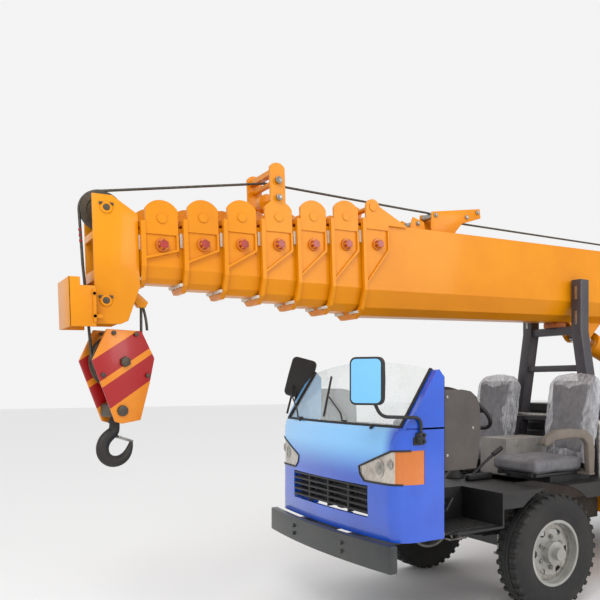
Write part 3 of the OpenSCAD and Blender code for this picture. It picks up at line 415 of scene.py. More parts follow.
def treaded_tyre(name, x, y):
    outline = [
        (0.207, -0.066), (0.212, -0.078), (0.226, -0.082), (0.262, -0.091), (0.268, -0.0925),
        (0.312, -0.0925), (0.318, -0.090), (0.342, -0.085), (0.360, -0.074), (0.364, -0.056),
        (0.365, -0.030), (0.358, -0.028), (0.358, -0.022), (0.374, -0.020), (0.374, -0.004),
        (0.366, -0.003), (0.366, 0.003), (0.374, 0.004), (0.374, 0.020), (0.358, 0.022), (0.358, 0.028),
        (0.365, 0.030), (0.364, 0.056), (0.360, 0.074), (0.342, 0.085), (0.318, 0.090), (0.312, 0.0925),
        (0.268, 0.0925), (0.262, 0.091), (0.226, 0.082), (0.212, 0.078), (0.207, 0.066), (0.207, -0.066)
    ]
    carcass = lathed("carcass", outline, (x, y, wheel_z), 64)
    lug = block("lug", (-0.0165, 0.030, 0.345), (0.0165, 0.086, 0.3748), 0.004, 1, taper=0.88)
    parts = [carcass]
    other = mirrored(lug, "lug_other")
    for first, shift in ((lug, 0), (other, 5)):
        for i in range(36):
            place = placed((x, y, wheel_z), i * 10 + shift, "Y")
            parts.append(copied(first, "lug_copy", place))
    bpy.data.objects.remove(lug)
    bpy.data.objects.remove(other)
    return joined(name, parts)


def wheel_nuts(name, x, y, face, side):
    parts = []
    for i in range(6):
        a = math.radians(60 * i + 30)
        parts.append(
            disc(
                "nut", (x + 0.1 * math.cos(a), y + side * (face + 0.008), wheel_z + 0.1 * math.sin(a)),
                0.0155, 0.018, "Y", 0.002, 6
            )
        )
        parts.append(
            disc(
                "stud", (x + 0.1 * math.cos(a), y + side * (face + 0.014), wheel_z + 0.1 * math.sin(a)),
                0.008, 0.026, "Y", 0.001, 12
            )
        )
    parts.append(
        lathed(
            "valve_band",
            [
                (0.148, side * face), (0.152, side * (face + 0.004)), (0.178, side * (face + 0.004)),
                (0.182, side * face), (0.148, side * face)
            ],
            (x, y, wheel_z), 48
        )
    )
    return joined(name, parts)


for side, word in ((1, "left"), (-1, "right")):
    tyre = treaded_tyre("tread_front_" + word, front_axle_x, side * 0.672)
    fit(tyre, "wheel_front_" + word, "tyre", tyre_rubber)
    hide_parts("tyre_front_" + word)
    pair = joined(
        "tread_rear_" + word,
        [treaded_tyre("inner", rear_axle_x, side * 0.6275), treaded_tyre("outer", rear_axle_x, side * 0.8525)]
    )
    fit(pair, "wheels_rear_" + word, "tyre", tyre_rubber)
    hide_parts("tyres_rear_" + word)
    fit(
        wheel_nuts("nuts_front_" + word, front_axle_x, side * 0.672, 0.025, side),
        "wheel_front_" + word, "steel", bright_steel
    )
    fit(
        wheel_nuts("nuts_rear_" + word, rear_axle_x, side * 0.74, 0.015, side),
        "wheels_rear_" + word, "steel", bright_steel
    )
    repaint(rim_grey, "rim_front_" + word, "rims_rear_" + word)


# Cab front: pressed steel panels in blue gloss paint, with a painted reflection of the sky in pale blue where
# the cowl rolls back, with the screen's seals, the grille slats and the washer's nozzle that the panels carry
cab_blue = finish_of(
    "cab_blue", colour(14, 84, 205), colour(10, 66, 178), 0.22, clear=0.9, cloud=1.6, edge=0.004
)
tree = cab_blue.node_tree
# Painted reflection of the sky: pale blue mixed into the paint high on the cowl, fading out towards the
# corner on the driver's side
where = tree.nodes.new("ShaderNodeTexCoord").outputs["Object"]
split = added(tree, "ShaderNodeSeparateXYZ", {}, Vector=where)
high = added(
    tree, "ShaderNodeMapRange", {"From Min": 0.90, "From Max": 1.12}, Value=split.outputs["Z"]
)
reflection_fade_at_corner = added(
    tree, "ShaderNodeMapRange", {"From Min": 0.69, "From Max": 0.58}, Value=split.outputs["Y"]
)
high.interpolation_type = "SMOOTHSTEP"
reflection_fade_at_corner.interpolation_type = "SMOOTHSTEP"
sky_reflection_mask = tree.nodes.new("ShaderNodeMath")
sky_reflection_mask.operation = "MULTIPLY"
tree.links.new(high.outputs["Result"], sky_reflection_mask.inputs[0])
tree.links.new(reflection_fade_at_corner.outputs["Result"], sky_reflection_mask.inputs[1])
sky_reflection_mix = tree.nodes.new("ShaderNodeMix")
sky_reflection_mix.data_type = "RGBA"
sky_reflection_mix.inputs[7].default_value = (*colour(120, 192, 248), 1)
tree.links.new(sky_reflection_mask.outputs["Value"], sky_reflection_mix.inputs[0])
tree.links.new(tree.nodes["colour"].outputs[2], sky_reflection_mix.inputs[6])
tree.links.new(sky_reflection_mix.outputs[2], tree.nodes["Principled BSDF"].inputs["Base Color"])


def nose_x(y, z, inset=0.0):
    """How far forward the cab's skin reaches: the plan's flat arc and round corner, less the cowl's roll."""
    side = abs(y)
    rows = (
        (0.58, 5.992), (0.68, 5.996), (0.80, 5.9985), (0.95, 5.998), (1.06, 5.996), (1.13, 5.990),
        (1.195, 5.974), (1.2151, 5.956)
    )
    radius = rows[-1][1]
    for (z0, r0), (z1, r1) in zip(rows, rows[1:]):
        if z0 <= z <= z1:
            radius = r0 + (r1 - r0) * (z - z0) / (z1 - z0)
    front = nose_axis_x + math.sqrt((radius - inset) ** 2 - side ** 2)
    if side > 0.61:
        front = min(front, 1.828 + math.sqrt(max((0.15 - inset) ** 2 - (side - 0.61) ** 2, 0)))
    return front


def plan_points(inset=0.0):
    """The cab's outline seen from above, from the driver's side round the front."""
    half = [(x, 0.76 - inset) for x in (1.665, 1.72, 1.775)]
    half += [
        (
            1.828 + (0.15 - inset) * math.sin(math.radians(a)),
            0.61 + (0.15 - inset) * math.cos(math.radians(a))
        )
        for a in range(0, 81, 8)
    ]
    half += [(9, y) for y in (0.61, 0.56, 0.5, 0.43, 0.36, 0.29, 0.22, 0.15, 0.08)]
    return half + [(9, 0)] + [(x, -y) for x, y in reversed(half)]


def sheet_of(name, rows):
    """A skin through rows of points, its outside to the front."""
    wide = len(rows[0])
    skin = bpy.data.meshes.new(name)
    faces = [(j * wide + i, (j + 1) * wide + i, (j + 1) * wide + i + 1, j * wide + i + 1)
             for j in range(len(rows) - 1) for i in range(wide - 1)]
    skin.from_pydata([point for row in rows for point in row], [], faces)
    piece = bpy.data.objects.new(name, skin)
    bpy.context.scene.collection.objects.link(piece)
    return pick(piece)


def thicken(piece, thick):
    wall = piece.modifiers.new("wall", "SOLIDIFY")
    wall.thickness = thick
    wall.offset = -1
    pick(piece)
    bpy.ops.object.modifier_apply(modifier="wall")
    return piece


def nose_skin(name, heights, inset, thick):
    rows = []
    for z in heights:
        rows.append([(min(x, nose_x(y, z, inset)), y, z) for x, y in plan_points(inset)])
    return thicken(sheet_of(name, rows), thick)


def prism(name, outline, low, high, along="Y", edge=0.0):
    """A plate cut to an outline: XZ points along Y, YZ points along X, or XY points along Z."""
    put = {
        "Y": lambda a, b: (a, low, b), "X": lambda a, b: (low, a, b), "Z": lambda a, b: (a, b, low)
    }[along]
    push = {"Y": (0, high - low, 0), "X": (high - low, 0, 0), "Z": (0, 0, high - low)}[along]
    face = bpy.data.meshes.new(name)
    face.from_pydata([put(a, b) for a, b in outline], [], [tuple(range(len(outline)))])
    piece = bpy.data.objects.new(name, face)
    bpy.context.scene.collection.objects.link(piece)
    pick(piece)
    bpy.ops.object.mode_set(mode="EDIT")
    bpy.ops.mesh.select_all(action="SELECT")
    bpy.ops.mesh.extrude_region_move(TRANSFORM_OT_translate={"value": push})
    bpy.ops.mesh.select_all(action="SELECT")
    bpy.ops.mesh.normals_make_consistent(inside=False)
    bpy.ops.object.mode_set(mode="OBJECT")
    if edge:
        soften(piece, edge, 2, 35)
    bpy.ops.object.shade_smooth_by_angle(angle=math.radians(32))
    return piece


def cut(piece, tools, how="DIFFERENCE"):
    for tool in tools:
        shape = piece.modifiers.new("cut", "BOOLEAN")
        shape.operation = how
        shape.solver = "EXACT"
        shape.object = tool
        pick(piece)
        bpy.ops.object.modifier_apply(modifier="cut")
        bpy.data.objects.remove(tool)
    return piece


lamp_edge = [(0.386, 0.985), (0.398, 0.94), (0.44, 0.905), (0.80, 0.905), (0.80, 1.094), (0.674, 1.088)]
openings = [block("grille_hole", (1.9, -0.47, 0.70), (2.1, 0.47, 0.88))]
for side in (1, -1):
    openings.append(prism("lamp_hole", [(side * y, z) for y, z in lamp_edge], 1.80, 2.10, "X"))
skin = cut(
    nose_skin(
        "skin",
        (
            0.59, 0.63, 0.68, 0.74, 0.80, 0.86, 0.91, 0.96, 1.01, 1.06, 1.095, 1.13, 1.16, 1.182, 1.197,
            1.208, 1.2151
        ),
        0, 0.02
    ),
    openings
)
around = [(x if x < 8 else nose_x(y, 0.8), y) for x, y in plan_points()]
around = [(1.5, 0.76)] + around + [(1.5, -0.76)]
pillar_edge = [
    (1.665, 1.205), (1.925, 1.205), (1.919, 1.215), (1.716, 1.534), (1.698, 1.538), (1.679, 1.514),
    (1.665, 1.50)
]
corner_posts = []
for side in (1, -1):
    post = prism("post", pillar_edge, side * 0.70, side * 0.80, "Y")
    corner_posts.append(cut(post, [prism("plan", around, 1.19, 1.60, "Z")], "INTERSECT"))
cab_panels = joined("cab_panels", [skin] + corner_posts)
pick(cab_panels)
bpy.ops.object.shade_smooth_by_angle(angle=math.radians(28))
fit(cab_panels, "chassis", "cab_blue", cab_blue)
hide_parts("cab_front")

# Bumper: a bent steel bar in the frame's black paint,
# bolted to two brackets that are welded to the ends of the frame
bar_arc = [(-3.924 + math.sqrt(36 - (0.04 * i) ** 2), 0.04 * i) for i in range(19, -20, -1)]
bar_back = [(x - 0.05, y) for x, y in reversed(bar_arc)]
bumper_parts = [prism("bumper_bar", bar_arc + bar_back, 0.44, 0.59, "Z", 0.008)]
for side in (1, -1):
    bumper_parts.append(
        block("bracket", (1.64, side * 0.31 - 0.03, 0.48), (2.02, side * 0.31 + 0.03, 0.585), 0.004)
    )
    for z in (0.49, 0.54):
        bumper_parts.append(disc("bracket_bolt", (2.074, side * 0.31, z), 0.013, 0.014, "X", 0.002, 6))
bumper_bar = fit(joined("bumper_bar", bumper_parts), "chassis", "frame_black", frame_black)
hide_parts("bumper")

black_plastic = finish_of(
    "black_plastic", colour(24, 24, 25), colour(38, 37, 36), 0.5, cloud=8, pits=0.5, pit_size=260,
    edge=0.0015
)
rubber = finish_of(
    "rubber", colour(22, 22, 22), colour(40, 39, 37), 0.7, cloud=14, pits=0.3, pit_size=200
)


def strip(name, start, end, width, thick, edge=0.003, facing=(1, 0, 0)):
    """A flat bar from start to end; facing is the way that its broad face looks."""
    start, end = Vector(start), Vector(end)
    along = (end - start).normalized()
    out = Vector(facing)
    out = (out - along * out.dot(along)).normalized()
    across = along.cross(out)
    piece = block(name, (-thick / 2, -width / 2, 0), (thick / 2, width / 2, (end - start).length), edge)
    turn = Matrix((out, across, along)).transposed().to_4x4()
    piece.data.transform(Matrix.Translation(start) @ turn)
    return piece


trim = []
for side in (1, -1):
    trim.append(
        strip(
            "pillar_seal", (1.921, side * 0.700, 1.212), (1.710, side * 0.699, 1.543), 0.022, 0.020,
            0.004, (0.8, 0, 0.6)
        )
    )
    trim.append(
        strip("door_edge", (1.664, side * 0.749, 0.80), (1.664, side * 0.749, 1.498), 0.018, 0.010, 0.003)
    )
for i in range(14):
    y0, y1 = -0.7 + 0.1 * i, -0.6 + 0.1 * i
    x0 = nose_axis_x + math.sqrt(5.951 ** 2 - y0 ** 2)
    x1 = nose_axis_x + math.sqrt(5.951 ** 2 - y1 ** 2)
    trim.append(tube("screen_seal", [(x0, y0, 1.219), (x1, y1, 1.219)], 0.009, 8))
fit(joined("screen_seals", trim), "chassis", "black_plastic", rubber)

slats = []
for i in range(5):
    z = 0.72 + 0.036 * i
    slats.append(block("slat", (1.965, -0.468, z), (1.992, 0.468, z + 0.014), 0.004, turn=(0, 18, 0)))
slats.append(block("grille_back", (1.93, -0.469, 0.701), (1.94, 0.469, 0.879), 0.002))
for y in (-0.25, 0, 0.25):
    slats.append(block("upright", (1.95, y - 0.008, 0.701), (1.99, y + 0.008, 0.879), 0.003))
fit(joined("grille", slats), "chassis", "black_plastic", black_plastic)

nozzle = joined("washer_nozzle", [
    disc("nozzle_foot", (1.956, 0.46, 1.206), 0.014, 0.012, "Z", 0.003, 20),
    block("nozzle_jet", (1.944, 0.448, 1.21), (1.966, 0.472, 1.226), 0.006, 3),
])
fit(nozzle, "chassis", "black_plastic", black_plastic)

# Windscreen: curved laminated glass in a rubber seal, with a faint haze of dust,
# and two wipers with pressed steel arms and rubber blades
glass = bpy.data.materials.new("glass")
glass.use_nodes = True
tree = glass.node_tree
shader = tree.nodes["Principled BSDF"]
shader.inputs["Base Color"].default_value = (*colour(226, 238, 240), 1)
shader.inputs["Roughness"].default_value = 0.03
shader.inputs["Alpha"].default_value = 0.22
shader.inputs["IOR"].default_value = 1.5
where = tree.nodes.new("ShaderNodeTexCoord").outputs["Object"]
haze = added(tree, "ShaderNodeTexNoise", {"Scale": 5, "Detail": 6}, Vector=where)
veil = added(tree, "ShaderNodeMapRange", {"To Min": 0.14, "To Max": 0.42}, Value=haze.outputs["Fac"])
tree.links.new(veil.outputs["Result"], shader.inputs["Alpha"])
pane_rows = []
for j in range(15):
    row = []
    for i in range(29):
        y = 0.7 - 0.05 * i
        top = 1.595 - (4.05 - math.sqrt(4.05 ** 2 - y ** 2))
        z = 1.2151 + (top - 1.2151) * j / 14
        row.append((nose_axis_x + math.sqrt((5.946 - 0.638 * (z - 1.215)) ** 2 - y ** 2), y, z))
    pane_rows.append(row)
windscreen = thicken(sheet_of("windscreen_pane", pane_rows), 0.006)
bpy.ops.object.shade_smooth_by_angle(angle=math.radians(40))
fit(windscreen, "chassis", "glass", glass)
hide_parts("windscreen")

wipers = []
for y, reach in ((-0.46, 0.30), (0.14, 0.36)):
    foot = Vector((1.945, y, 1.222))
    knee = Vector((1.925, y - 0.05, 1.262))
    tip = Vector((1.852, y - reach, 1.375))
    lift = Vector((0.022, 0, 0.014))
    wipers.append(disc("spindle", foot, 0.016, 0.03, "Z", 0.004, 20))
    wipers.append(tube("arm", rounded_way([foot + lift, knee + lift, tip + lift], 0.03), 0.0055, 8))
    wipers.append(
        strip(
            "blade", tip + lift * 0.5 + Vector((0.09, 0.10, -0.13)),
            tip + lift * 0.5 + Vector((-0.075, -0.10, 0.125)), 0.006, 0.014, 0.001
        )
    )
fit(joined("wipers", wipers), "chassis", "black_plastic", black_plastic)

# Headlamps: moulded lens with fluted glass over bright reflectors, an amber end for the indicator,
# set in a dark bezel; the tail lamps behind are red
lens = finish_of(
    "lens", colour(196, 188, 176), colour(150, 140, 128), 0.12, metal=0.35, clear=1.0, cloud=14
)
tree = lens.node_tree
where = tree.nodes.new("ShaderNodeTexCoord").outputs["Object"]
split = added(tree, "ShaderNodeSeparateXYZ", {}, Vector=where)
side_of = tree.nodes.new("ShaderNodeMath")
side_of.operation = "ABSOLUTE"
tree.links.new(split.outputs["Y"], side_of.inputs[0])
amber_part = added(
    tree, "ShaderNodeMapRange", {"From Min": 0.688, "From Max": 0.694}, Value=side_of.outputs["Value"]
)
amber = tree.nodes.new("ShaderNodeMix")
amber.data_type = "RGBA"
amber.inputs[7].default_value = (*colour(206, 112, 30), 1)
tree.links.new(amber_part.outputs["Result"], amber.inputs[0])
tree.links.new(tree.nodes["colour"].outputs[2], amber.inputs[6])
rear_part = tree.nodes.new("ShaderNodeMath")
rear_part.operation = "LESS_THAN"
rear_part.inputs[1].default_value = 0
tree.links.new(split.outputs["X"], rear_part.inputs[0])
red = tree.nodes.new("ShaderNodeMix")
red.data_type = "RGBA"
red.inputs[7].default_value = (*colour(150, 12, 10), 1)
tree.links.new(rear_part.outputs["Value"], red.inputs[0])
tree.links.new(amber.outputs[2], red.inputs[6])
tree.links.new(red.outputs[2], tree.nodes["Principled BSDF"].inputs["Base Color"])
flutes = added(tree, "ShaderNodeTexWave", {"Scale": 14, "Distortion": 0.6}, Vector=where)
flutes.bands_direction = "Y"
ridge = added(
    tree, "ShaderNodeBump", {"Strength": 0.5, "Distance": 0.003}, Height=flutes.outputs["Fac"]
)
tree.links.new(ridge.outputs["Normal"], tree.nodes["Principled BSDF"].inputs["Normal"])
lamp_parts = []
for side in (1, -1):
    whole = nose_skin("lamp", (0.895, 0.95, 1.0, 1.05, 1.10), 0.003, 0.03)
    hole = prism("lamp_shape", [(side * y, z) for y, z in lamp_edge], 1.80, 2.10, "X")
    lamp_parts.append(cut(whole, [hole], "INTERSECT"))
    lamp_parts.append(
        block("tail_lamp", (-3.47, side * 0.73 - 0.09, 0.64), (-3.43, side * 0.73 + 0.09, 0.73), 0.008, 3)
    )
lamp_glass = joined("lamp_glasses", lamp_parts)
pick(lamp_glass)
bpy.ops.object.shade_smooth_by_angle(angle=math.radians(30))
fit(lamp_glass, "chassis", "lens", lens)
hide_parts("lamps")
brackets = [
    block("lamp_bar", (-3.46, side * 0.49 - 0.15, 0.69), (-3.44, side * 0.49 + 0.15, 0.72), 0.003)
    for side in (1, -1)
]
fit(joined("tail_lamp_bars", brackets), "chassis", "frame_black", frame_black)

bezels = []
for side in (1, -1):
    way = []
    for (y0, z0), (y1, z1) in zip(lamp_edge, lamp_edge[1:] + lamp_edge[:1]):
        for i in range(10):
            y, z = y0 + (y1 - y0) * i / 10, z0 + (z1 - z0) * i / 10
            if y <= 0.752:
                way.append((nose_x(y, z) + 0.001, side * y, z))
    turned = [k for k in range(len(way)) if abs(way[k][1]) > 0.745]
    start = turned[len(turned) // 2] if turned else 0
    way = way[start:] + way[:start]
    bezels.append(tube("bezel", way, 0.0055, 8))
fit(joined("lamp_bezels", bezels), "chassis", "black_plastic", black_plastic)

bowls = []
for side in (1, -1):
    for y, z, r in ((0.56, 0.985, 0.056), (0.655, 1.015, 0.03)):
        x = nose_x(y, z) - 0.012
        bowls.append(
            lathed(
                "bowl",
                [
                    (r, 0.002), (r * 1.06, 0.006), (r, 0.008), (r * 0.9, 0.004), (r * 0.7, 0.008),
                    (r * 0.35, 0.012), (0.0005, 0.013)
                ],
                (0, 0, 0), 40
            )
        )
        bowls[-1].data.transform(
            placed((x, side * y, z), -90, "Z")
        )
fit(joined("lamp_bowls", bowls), "chassis", "lens", bright_steel)


# Mirrors: rounded black housings on bent steel arms, clamped to the front corners;
# the driver's is turned so that its glass looks forward
# Painted reflection of the sky: the mirrors' glass is coloured light sky blue
mirror_sky_reflection = finish_of(
    "mirror_sky_reflection", colour(120, 198, 246), colour(98, 182, 238), 0.06, metal=0.15, clear=1.0, cloud=1.2
)


def mirror_head(name, centre, turn, width, height, glass_side):
    shell = block(name + "_shell", (-0.016, -width / 2, -height / 2), (0.016, width / 2, height / 2))
    pick(shell)
    bpy.ops.object.mode_set(mode="EDIT")
    bpy.ops.mesh.select_all(action="SELECT")
    bpy.ops.mesh.subdivide(number_cuts=1)
    bpy.ops.object.mode_set(mode="OBJECT")
    for corner in shell.data.vertices:
        if abs(corner.co.y) < 0.001 or abs(corner.co.z) < 0.001:
            corner.co.x *= 1.0 if corner.co.x * glass_side > 0 else 1.5
    weights = shell.data.attributes.new("bevel_weight_edge", "FLOAT", "EDGE")
    for e in shell.data.edges:
        a, b = shell.data.vertices[e.vertices[0]].co, shell.data.vertices[e.vertices[1]].co
        upright = abs(abs(a.y) - width / 2) < 0.002 and abs(
            abs(a.z) - height / 2
        ) < 0.002 and (a - b).length < 0.06
        weights.data[e.index].value = 1.0 if upright and abs(abs(b.y) - width / 2) < 0.002 and abs(
            abs(b.z) - height / 2
        ) < 0.002 else 0.0
    soften(shell, 0.034, 5, weighted=True)
    soften(shell, 0.006, 3, 50)
    bpy.ops.object.shade_smooth_by_angle(angle=math.radians(40))
    place = Matrix.Translation(centre)
    for axis, angle in zip("XYZ", turn):
        place = place @ Matrix.Rotation(math.radians(angle), 4, axis)
    pane = None
    if glass_side:
        pane = block(
            name + "_pane", (glass_side * 0.016 - 0.0012, -width / 2 + 0.011, -height / 2 + 0.011),
            (glass_side * 0.016 + 0.0012, width / 2 - 0.011, height / 2 - 0.011)
        )
        weights = pane.data.attributes.new("bevel_weight_edge", "FLOAT", "EDGE")
        for e in pane.data.edges:
            a, b = pane.data.vertices[e.vertices[0]].co, pane.data.vertices[e.vertices[1]].co
            weights.data[e.index].value = 1.0 if abs(a.x - b.x) > 0.001 else 0.0
        pick(pane)
        soften(pane, 0.026, 6, weighted=True)
        pane.data.transform(place)
    shell.data.transform(place)
    return shell, pane


near_shell, near_pane = mirror_head("near_mirror", (2.168, 0.758, 1.471), (0, 0, 34), 0.19, 0.25, 1)
far_shell, far_pane = mirror_head("far_mirror", (0, 0, 0), (0, 0, 0), 0.18, 0.29, -1)
lean = (
    placed((1.781, -0.800, 1.501), 50, "Z")
    @ Matrix.Rotation(math.radians(-15), 4, "X")
)
far_shell.data.transform(lean)
far_pane.data.transform(lean)
arms = [near_shell, far_shell]
arms.append(
    tube(
        "near_arm",
        rounded_way(
            [(1.836, 0.774, 1.16), (1.836, 0.774, 1.272), (2.096, 0.776, 1.284), (2.15, 0.764, 1.40)],
            0.045
        ),
        0.0095, 12
    )
)
arms.append(
    tube(
        "far_arm",
        rounded_way([(1.836, -0.774, 1.16), (1.838, -0.778, 1.27), (1.812, -0.806, 1.40)], 0.045), 0.0095,
        12
    )
)
for side in (1, -1):
    arms.append(
        block("clamp", (1.812, side * 0.765 - 0.022, 1.13), (1.862, side * 0.765 + 0.022, 1.19), 0.006)
    )
    arms.append(
        block(
            "clamp_plate", (1.80, side * 0.755 - 0.008, 1.122), (1.874, side * 0.755 + 0.008, 1.166),
            0.004
        )
    )
    for z in (1.142, 1.178):
        arms.append(disc("clamp_bolt", (1.852, side * 0.790, z), 0.009, 0.014, "Y", 0.002, 6))
        arms.append(disc("clamp_bolt", (1.822, side * 0.790, z), 0.009, 0.014, "Y", 0.002, 6))
mirror_frames = fit(joined("mirror_frames", arms), "chassis", "black_plastic", black_plastic)
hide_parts("mirrors")
fit(joined("mirror_panes", [near_pane, far_pane]), "chassis", "glass", mirror_sky_reflection)


# Cab floor, side linings and dash: moulded plastic over pressed steel, with the instruments' bezel,
# vents, switches, pedals and levers that a driver needs
lining_grey = finish_of(
    "lining_grey", colour(82, 75, 71), colour(70, 65, 62), 0.62, cloud=5, pits=0.7, pit_size=320,
    edge=0.004
)
light_grey = finish_of(
    "light_grey", colour(150, 147, 142), colour(128, 125, 120), 0.55, cloud=5, pits=0.5, pit_size=300,
    edge=0.004
)
lining_edge = [
    (1.40, 0.96), (1.376, 1.06), (1.367, 1.20), (1.372, 1.32), (1.396, 1.382), (1.44, 1.414),
    (1.50, 1.424), (1.661, 1.424), (1.661, 0.96)
]
dash_edge = [(1.42, 0.98), (1.40, 1.06), (1.43, 1.15), (1.50, 1.19), (1.661, 1.19), (1.661, 0.98)]
hood_edge = [(1.424, 1.14), (1.412, 1.215), (1.44, 1.262), (1.56, 1.268), (1.661, 1.23), (1.661, 1.15)]
dash_parts = [
    prism("dash", dash_edge, -0.695, 0.695, "Y", 0.008),
    prism("dial_hood", hood_edge, 0.23, 0.59, "Y", 0.012)
]
for side in (1, -1):
    dash_parts.append(prism("lining", lining_edge, side * 0.692, side * 0.73, "Y", 0.008))
dash_parts.append(tube("column", [(1.256, 0.41, 1.281), (1.516, 0.41, 0.971)], 0.032, 24))
dash_panels = fit(joined("dash_panels", dash_parts), "chassis", "grey_plastic", lining_grey)
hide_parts("dashboard")
repaint(light_grey, "engine_cover")
repaint(black_plastic, "cab_tub", "steering_wheel")

dash_bits = []
dial_y = (0.33, 0.49)
for y in dial_y:
    dash_bits.append(
        lathed(
            "dial_rim",
            [
                (0.050, 0.0), (0.056, 0.004), (0.060, 0.012), (0.054, 0.016), (0.050, 0.010),
                (0.049, 0.002)
            ],
            (0, 0, 0), 36
        )
    )
    dash_bits[-1].data.transform(
        placed((1.428, y, 1.205), 98, "Z")
    )
for i in range(5):
    dash_bits.append(
        block(
            "switch", (1.418, -0.02 - 0.055 * i, 1.135), (1.438, 0.018 - 0.055 * i, 1.160), 0.004,
            turn=(0, -12, 0)
        )
    )
for y in (0.12, -0.42, -0.62):
    dash_bits.append(block("vent", (1.402, y - 0.06, 1.06), (1.420, y + 0.06, 1.12), 0.008))
    for i in range(4):
        dash_bits.append(
            block(
                "vane", (1.396, y - 0.052, 1.068 + 0.012 * i), (1.410, y + 0.052, 1.072 + 0.012 * i),
                0.001, 1
            )
        )
dash_bits.append(
    block("column_shroud", (1.262, 0.365, 1.205), (1.42, 0.455, 1.285), 0.018, 3, turn=(0, 40, 0))
)
for y, lean_y in ((0.30, -0.02), (0.52, 0.02)):
    dash_bits.append(tube("stalk", [(1.30, 0.41 + (y - 0.41) * 0.3, 1.262), (1.292, y, 1.282)], 0.007, 8))
    dash_bits.append(disc("stalk_end", (1.292, y + lean_y, 1.283), 0.011, 0.05, "Y", 0.004, 16))
fit(joined("dash_fittings", dash_bits), "chassis", "black_plastic", black_plastic)

panel_screws = []
for side in (1, -1):
    for x, z in ((1.43, 1.20), (1.62, 1.38), (1.62, 1.05)):
        panel_screws.append(disc("screw", (x, side * 0.731, z), 0.009, 0.006, "Y", 0.002, 20))
fit(joined("lining_screws", panel_screws), "chassis", "steel", bright_steel)

pedals = []
for y in (0.50, 0.41, 0.58):
    pedals.append(
        block("pedal", (1.50, y - 0.032, 0.70), (1.515, y + 0.032, 0.79), 0.005, turn=(0, -35, 0))
    )
    pedals.append(
        tube(
            "pedal_arm", rounded_way([(1.512, y, 0.74), (1.58, y, 0.80), (1.60, y, 0.985)], 0.04), 0.008,
            8
        )
    )
fit(joined("pedals", pedals), "chassis", "black_plastic", black_plastic)

levers = [
    tube(
        "gear_lever", rounded_way([(1.0, 0.02, 0.80), (0.97, 0.03, 0.95), (1.0, 0.05, 1.08)], 0.06),
        0.008, 10
    ),
    disc("gear_knob", (1.002, 0.051, 1.10), 0.026, 0.05, "Z", 0.014, 24, 4),
    disc("gear_gaiter", (1.0, 0.02, 0.835), 0.075, 0.07, "Z", 0.01, 32, 3, 0.022),
    block("brake_base", (0.82, 0.175, 0.80), (1.04, 0.225, 0.845), 0.012, 3),
    tube(
        "brake_lever", rounded_way([(0.98, 0.20, 0.84), (0.86, 0.20, 0.93), (0.76, 0.20, 0.985)], 0.05),
        0.010, 10
    ),
    tube("brake_grip", [(0.80, 0.20, 0.965), (0.72, 0.20, 1.008)], 0.017, 12),
]
fit(joined("cab_levers", levers), "chassis", "black_plastic", black_plastic)

# Floor mats: moulded rubber with raised ribs, one lying loose in each foot well
mats = []
for side in (1, -1):
    mats.append(block("mat", (1.24, side * 0.54 - 0.17, 0.602), (1.60, side * 0.54 + 0.17, 0.610), 0.003))
    for i in range(9):
        mats.append(
            block(
                "rib", (1.27 + 0.036 * i, side * 0.54 - 0.16, 0.609),
                (1.282 + 0.036 * i, side * 0.54 + 0.16, 0.614), 0.002, 1
            )
        )
fit(joined("floor_mats", mats), "chassis", "black_plastic", rubber)


# Chairs: sewn cushions of grey cloth over sprung frames, still in the clear film that they are delivered in;
# the driver's has a curved moulded arm, and between them stands the moulded box over the engine
seat_cloth = finish_of(
    "seat_cloth", colour(120, 119, 122), colour(96, 95, 99), 0.85, cloud=16, pits=0.6, pit_size=480
)
film = finish_of("film", colour(206, 206, 210), colour(150, 150, 156), 0.22, clear=0.6, cloud=9)
tree = film.node_tree
where = tree.nodes.new("ShaderNodeTexCoord").outputs["Object"]
long_way = added(tree, "ShaderNodeMapping", {"Scale": (8, 8, 2.4)}, Vector=where)
folds = added(
    tree, "ShaderNodeTexNoise", {"Scale": 2.2, "Detail": 3, "Distortion": 1.6},
    Vector=long_way.outputs["Vector"]
)
crease = added(
    tree, "ShaderNodeBump", {"Strength": 0.9, "Distance": 0.02}, Height=folds.outputs["Fac"]
)
tree.links.new(crease.outputs["Normal"], tree.nodes["Principled BSDF"].inputs["Normal"])
cloudy = added(
    tree, "ShaderNodeMapRange", {"From Min": 0.3, "From Max": 0.7, "To Min": 0.3, "To Max": 0.8},
    Value=folds.outputs["Fac"]
)
tree.links.new(cloudy.outputs["Result"], tree.nodes["Principled BSDF"].inputs["Alpha"])


def swell(piece, cap):
    """Pads a piece: remeshed, blown up by cloth pressure, and no point moved further than the cap."""
    mesh_size = piece.modifiers.new("remesh", "REMESH")
    mesh_size.mode = "VOXEL"
    mesh_size.voxel_size = 0.0095
    pick(piece)
    bpy.ops.object.modifier_apply(modifier="remesh")
    before = [corner.co.copy() for corner in piece.data.vertices]
    cloth = piece.modifiers.new("cloth", "CLOTH")
    cloth.settings.use_pressure = True
    cloth.settings.uniform_pressure_force = 4
    cloth.settings.effector_weights.gravity = 0
    cloth.point_cache.frame_start = 1
    cloth.point_cache.frame_end = 20
    for moment in range(1, 21):
        bpy.context.scene.frame_set(moment)
    bpy.ops.object.modifier_apply(modifier="cloth")
    bpy.context.scene.frame_set(1)
    for corner, old in zip(piece.data.vertices, before):
        move = corner.co - old
        if move.length > cap:
            corner.co = old + move * (cap / move.length)
    finer = piece.modifiers.new("finer", "SUBSURF")
    finer.levels = 1
    finer.render_levels = 1
    bpy.ops.object.modifier_apply(modifier="finer")
    bpy.ops.object.shade_smooth()
    return piece


def film_noise(a, b, seed):
    return (math.sin(a * 1.0 + seed) * 0.5 + math.sin(a * 2.3 + b * 1.7 + seed * 2.1) * 0.3
            + math.sin(a * 5.1 - b * 3.3 + seed * 3.7) * 0.2 + math.sin(a * 9.7 + b * 6.1 + seed) * 0.12)


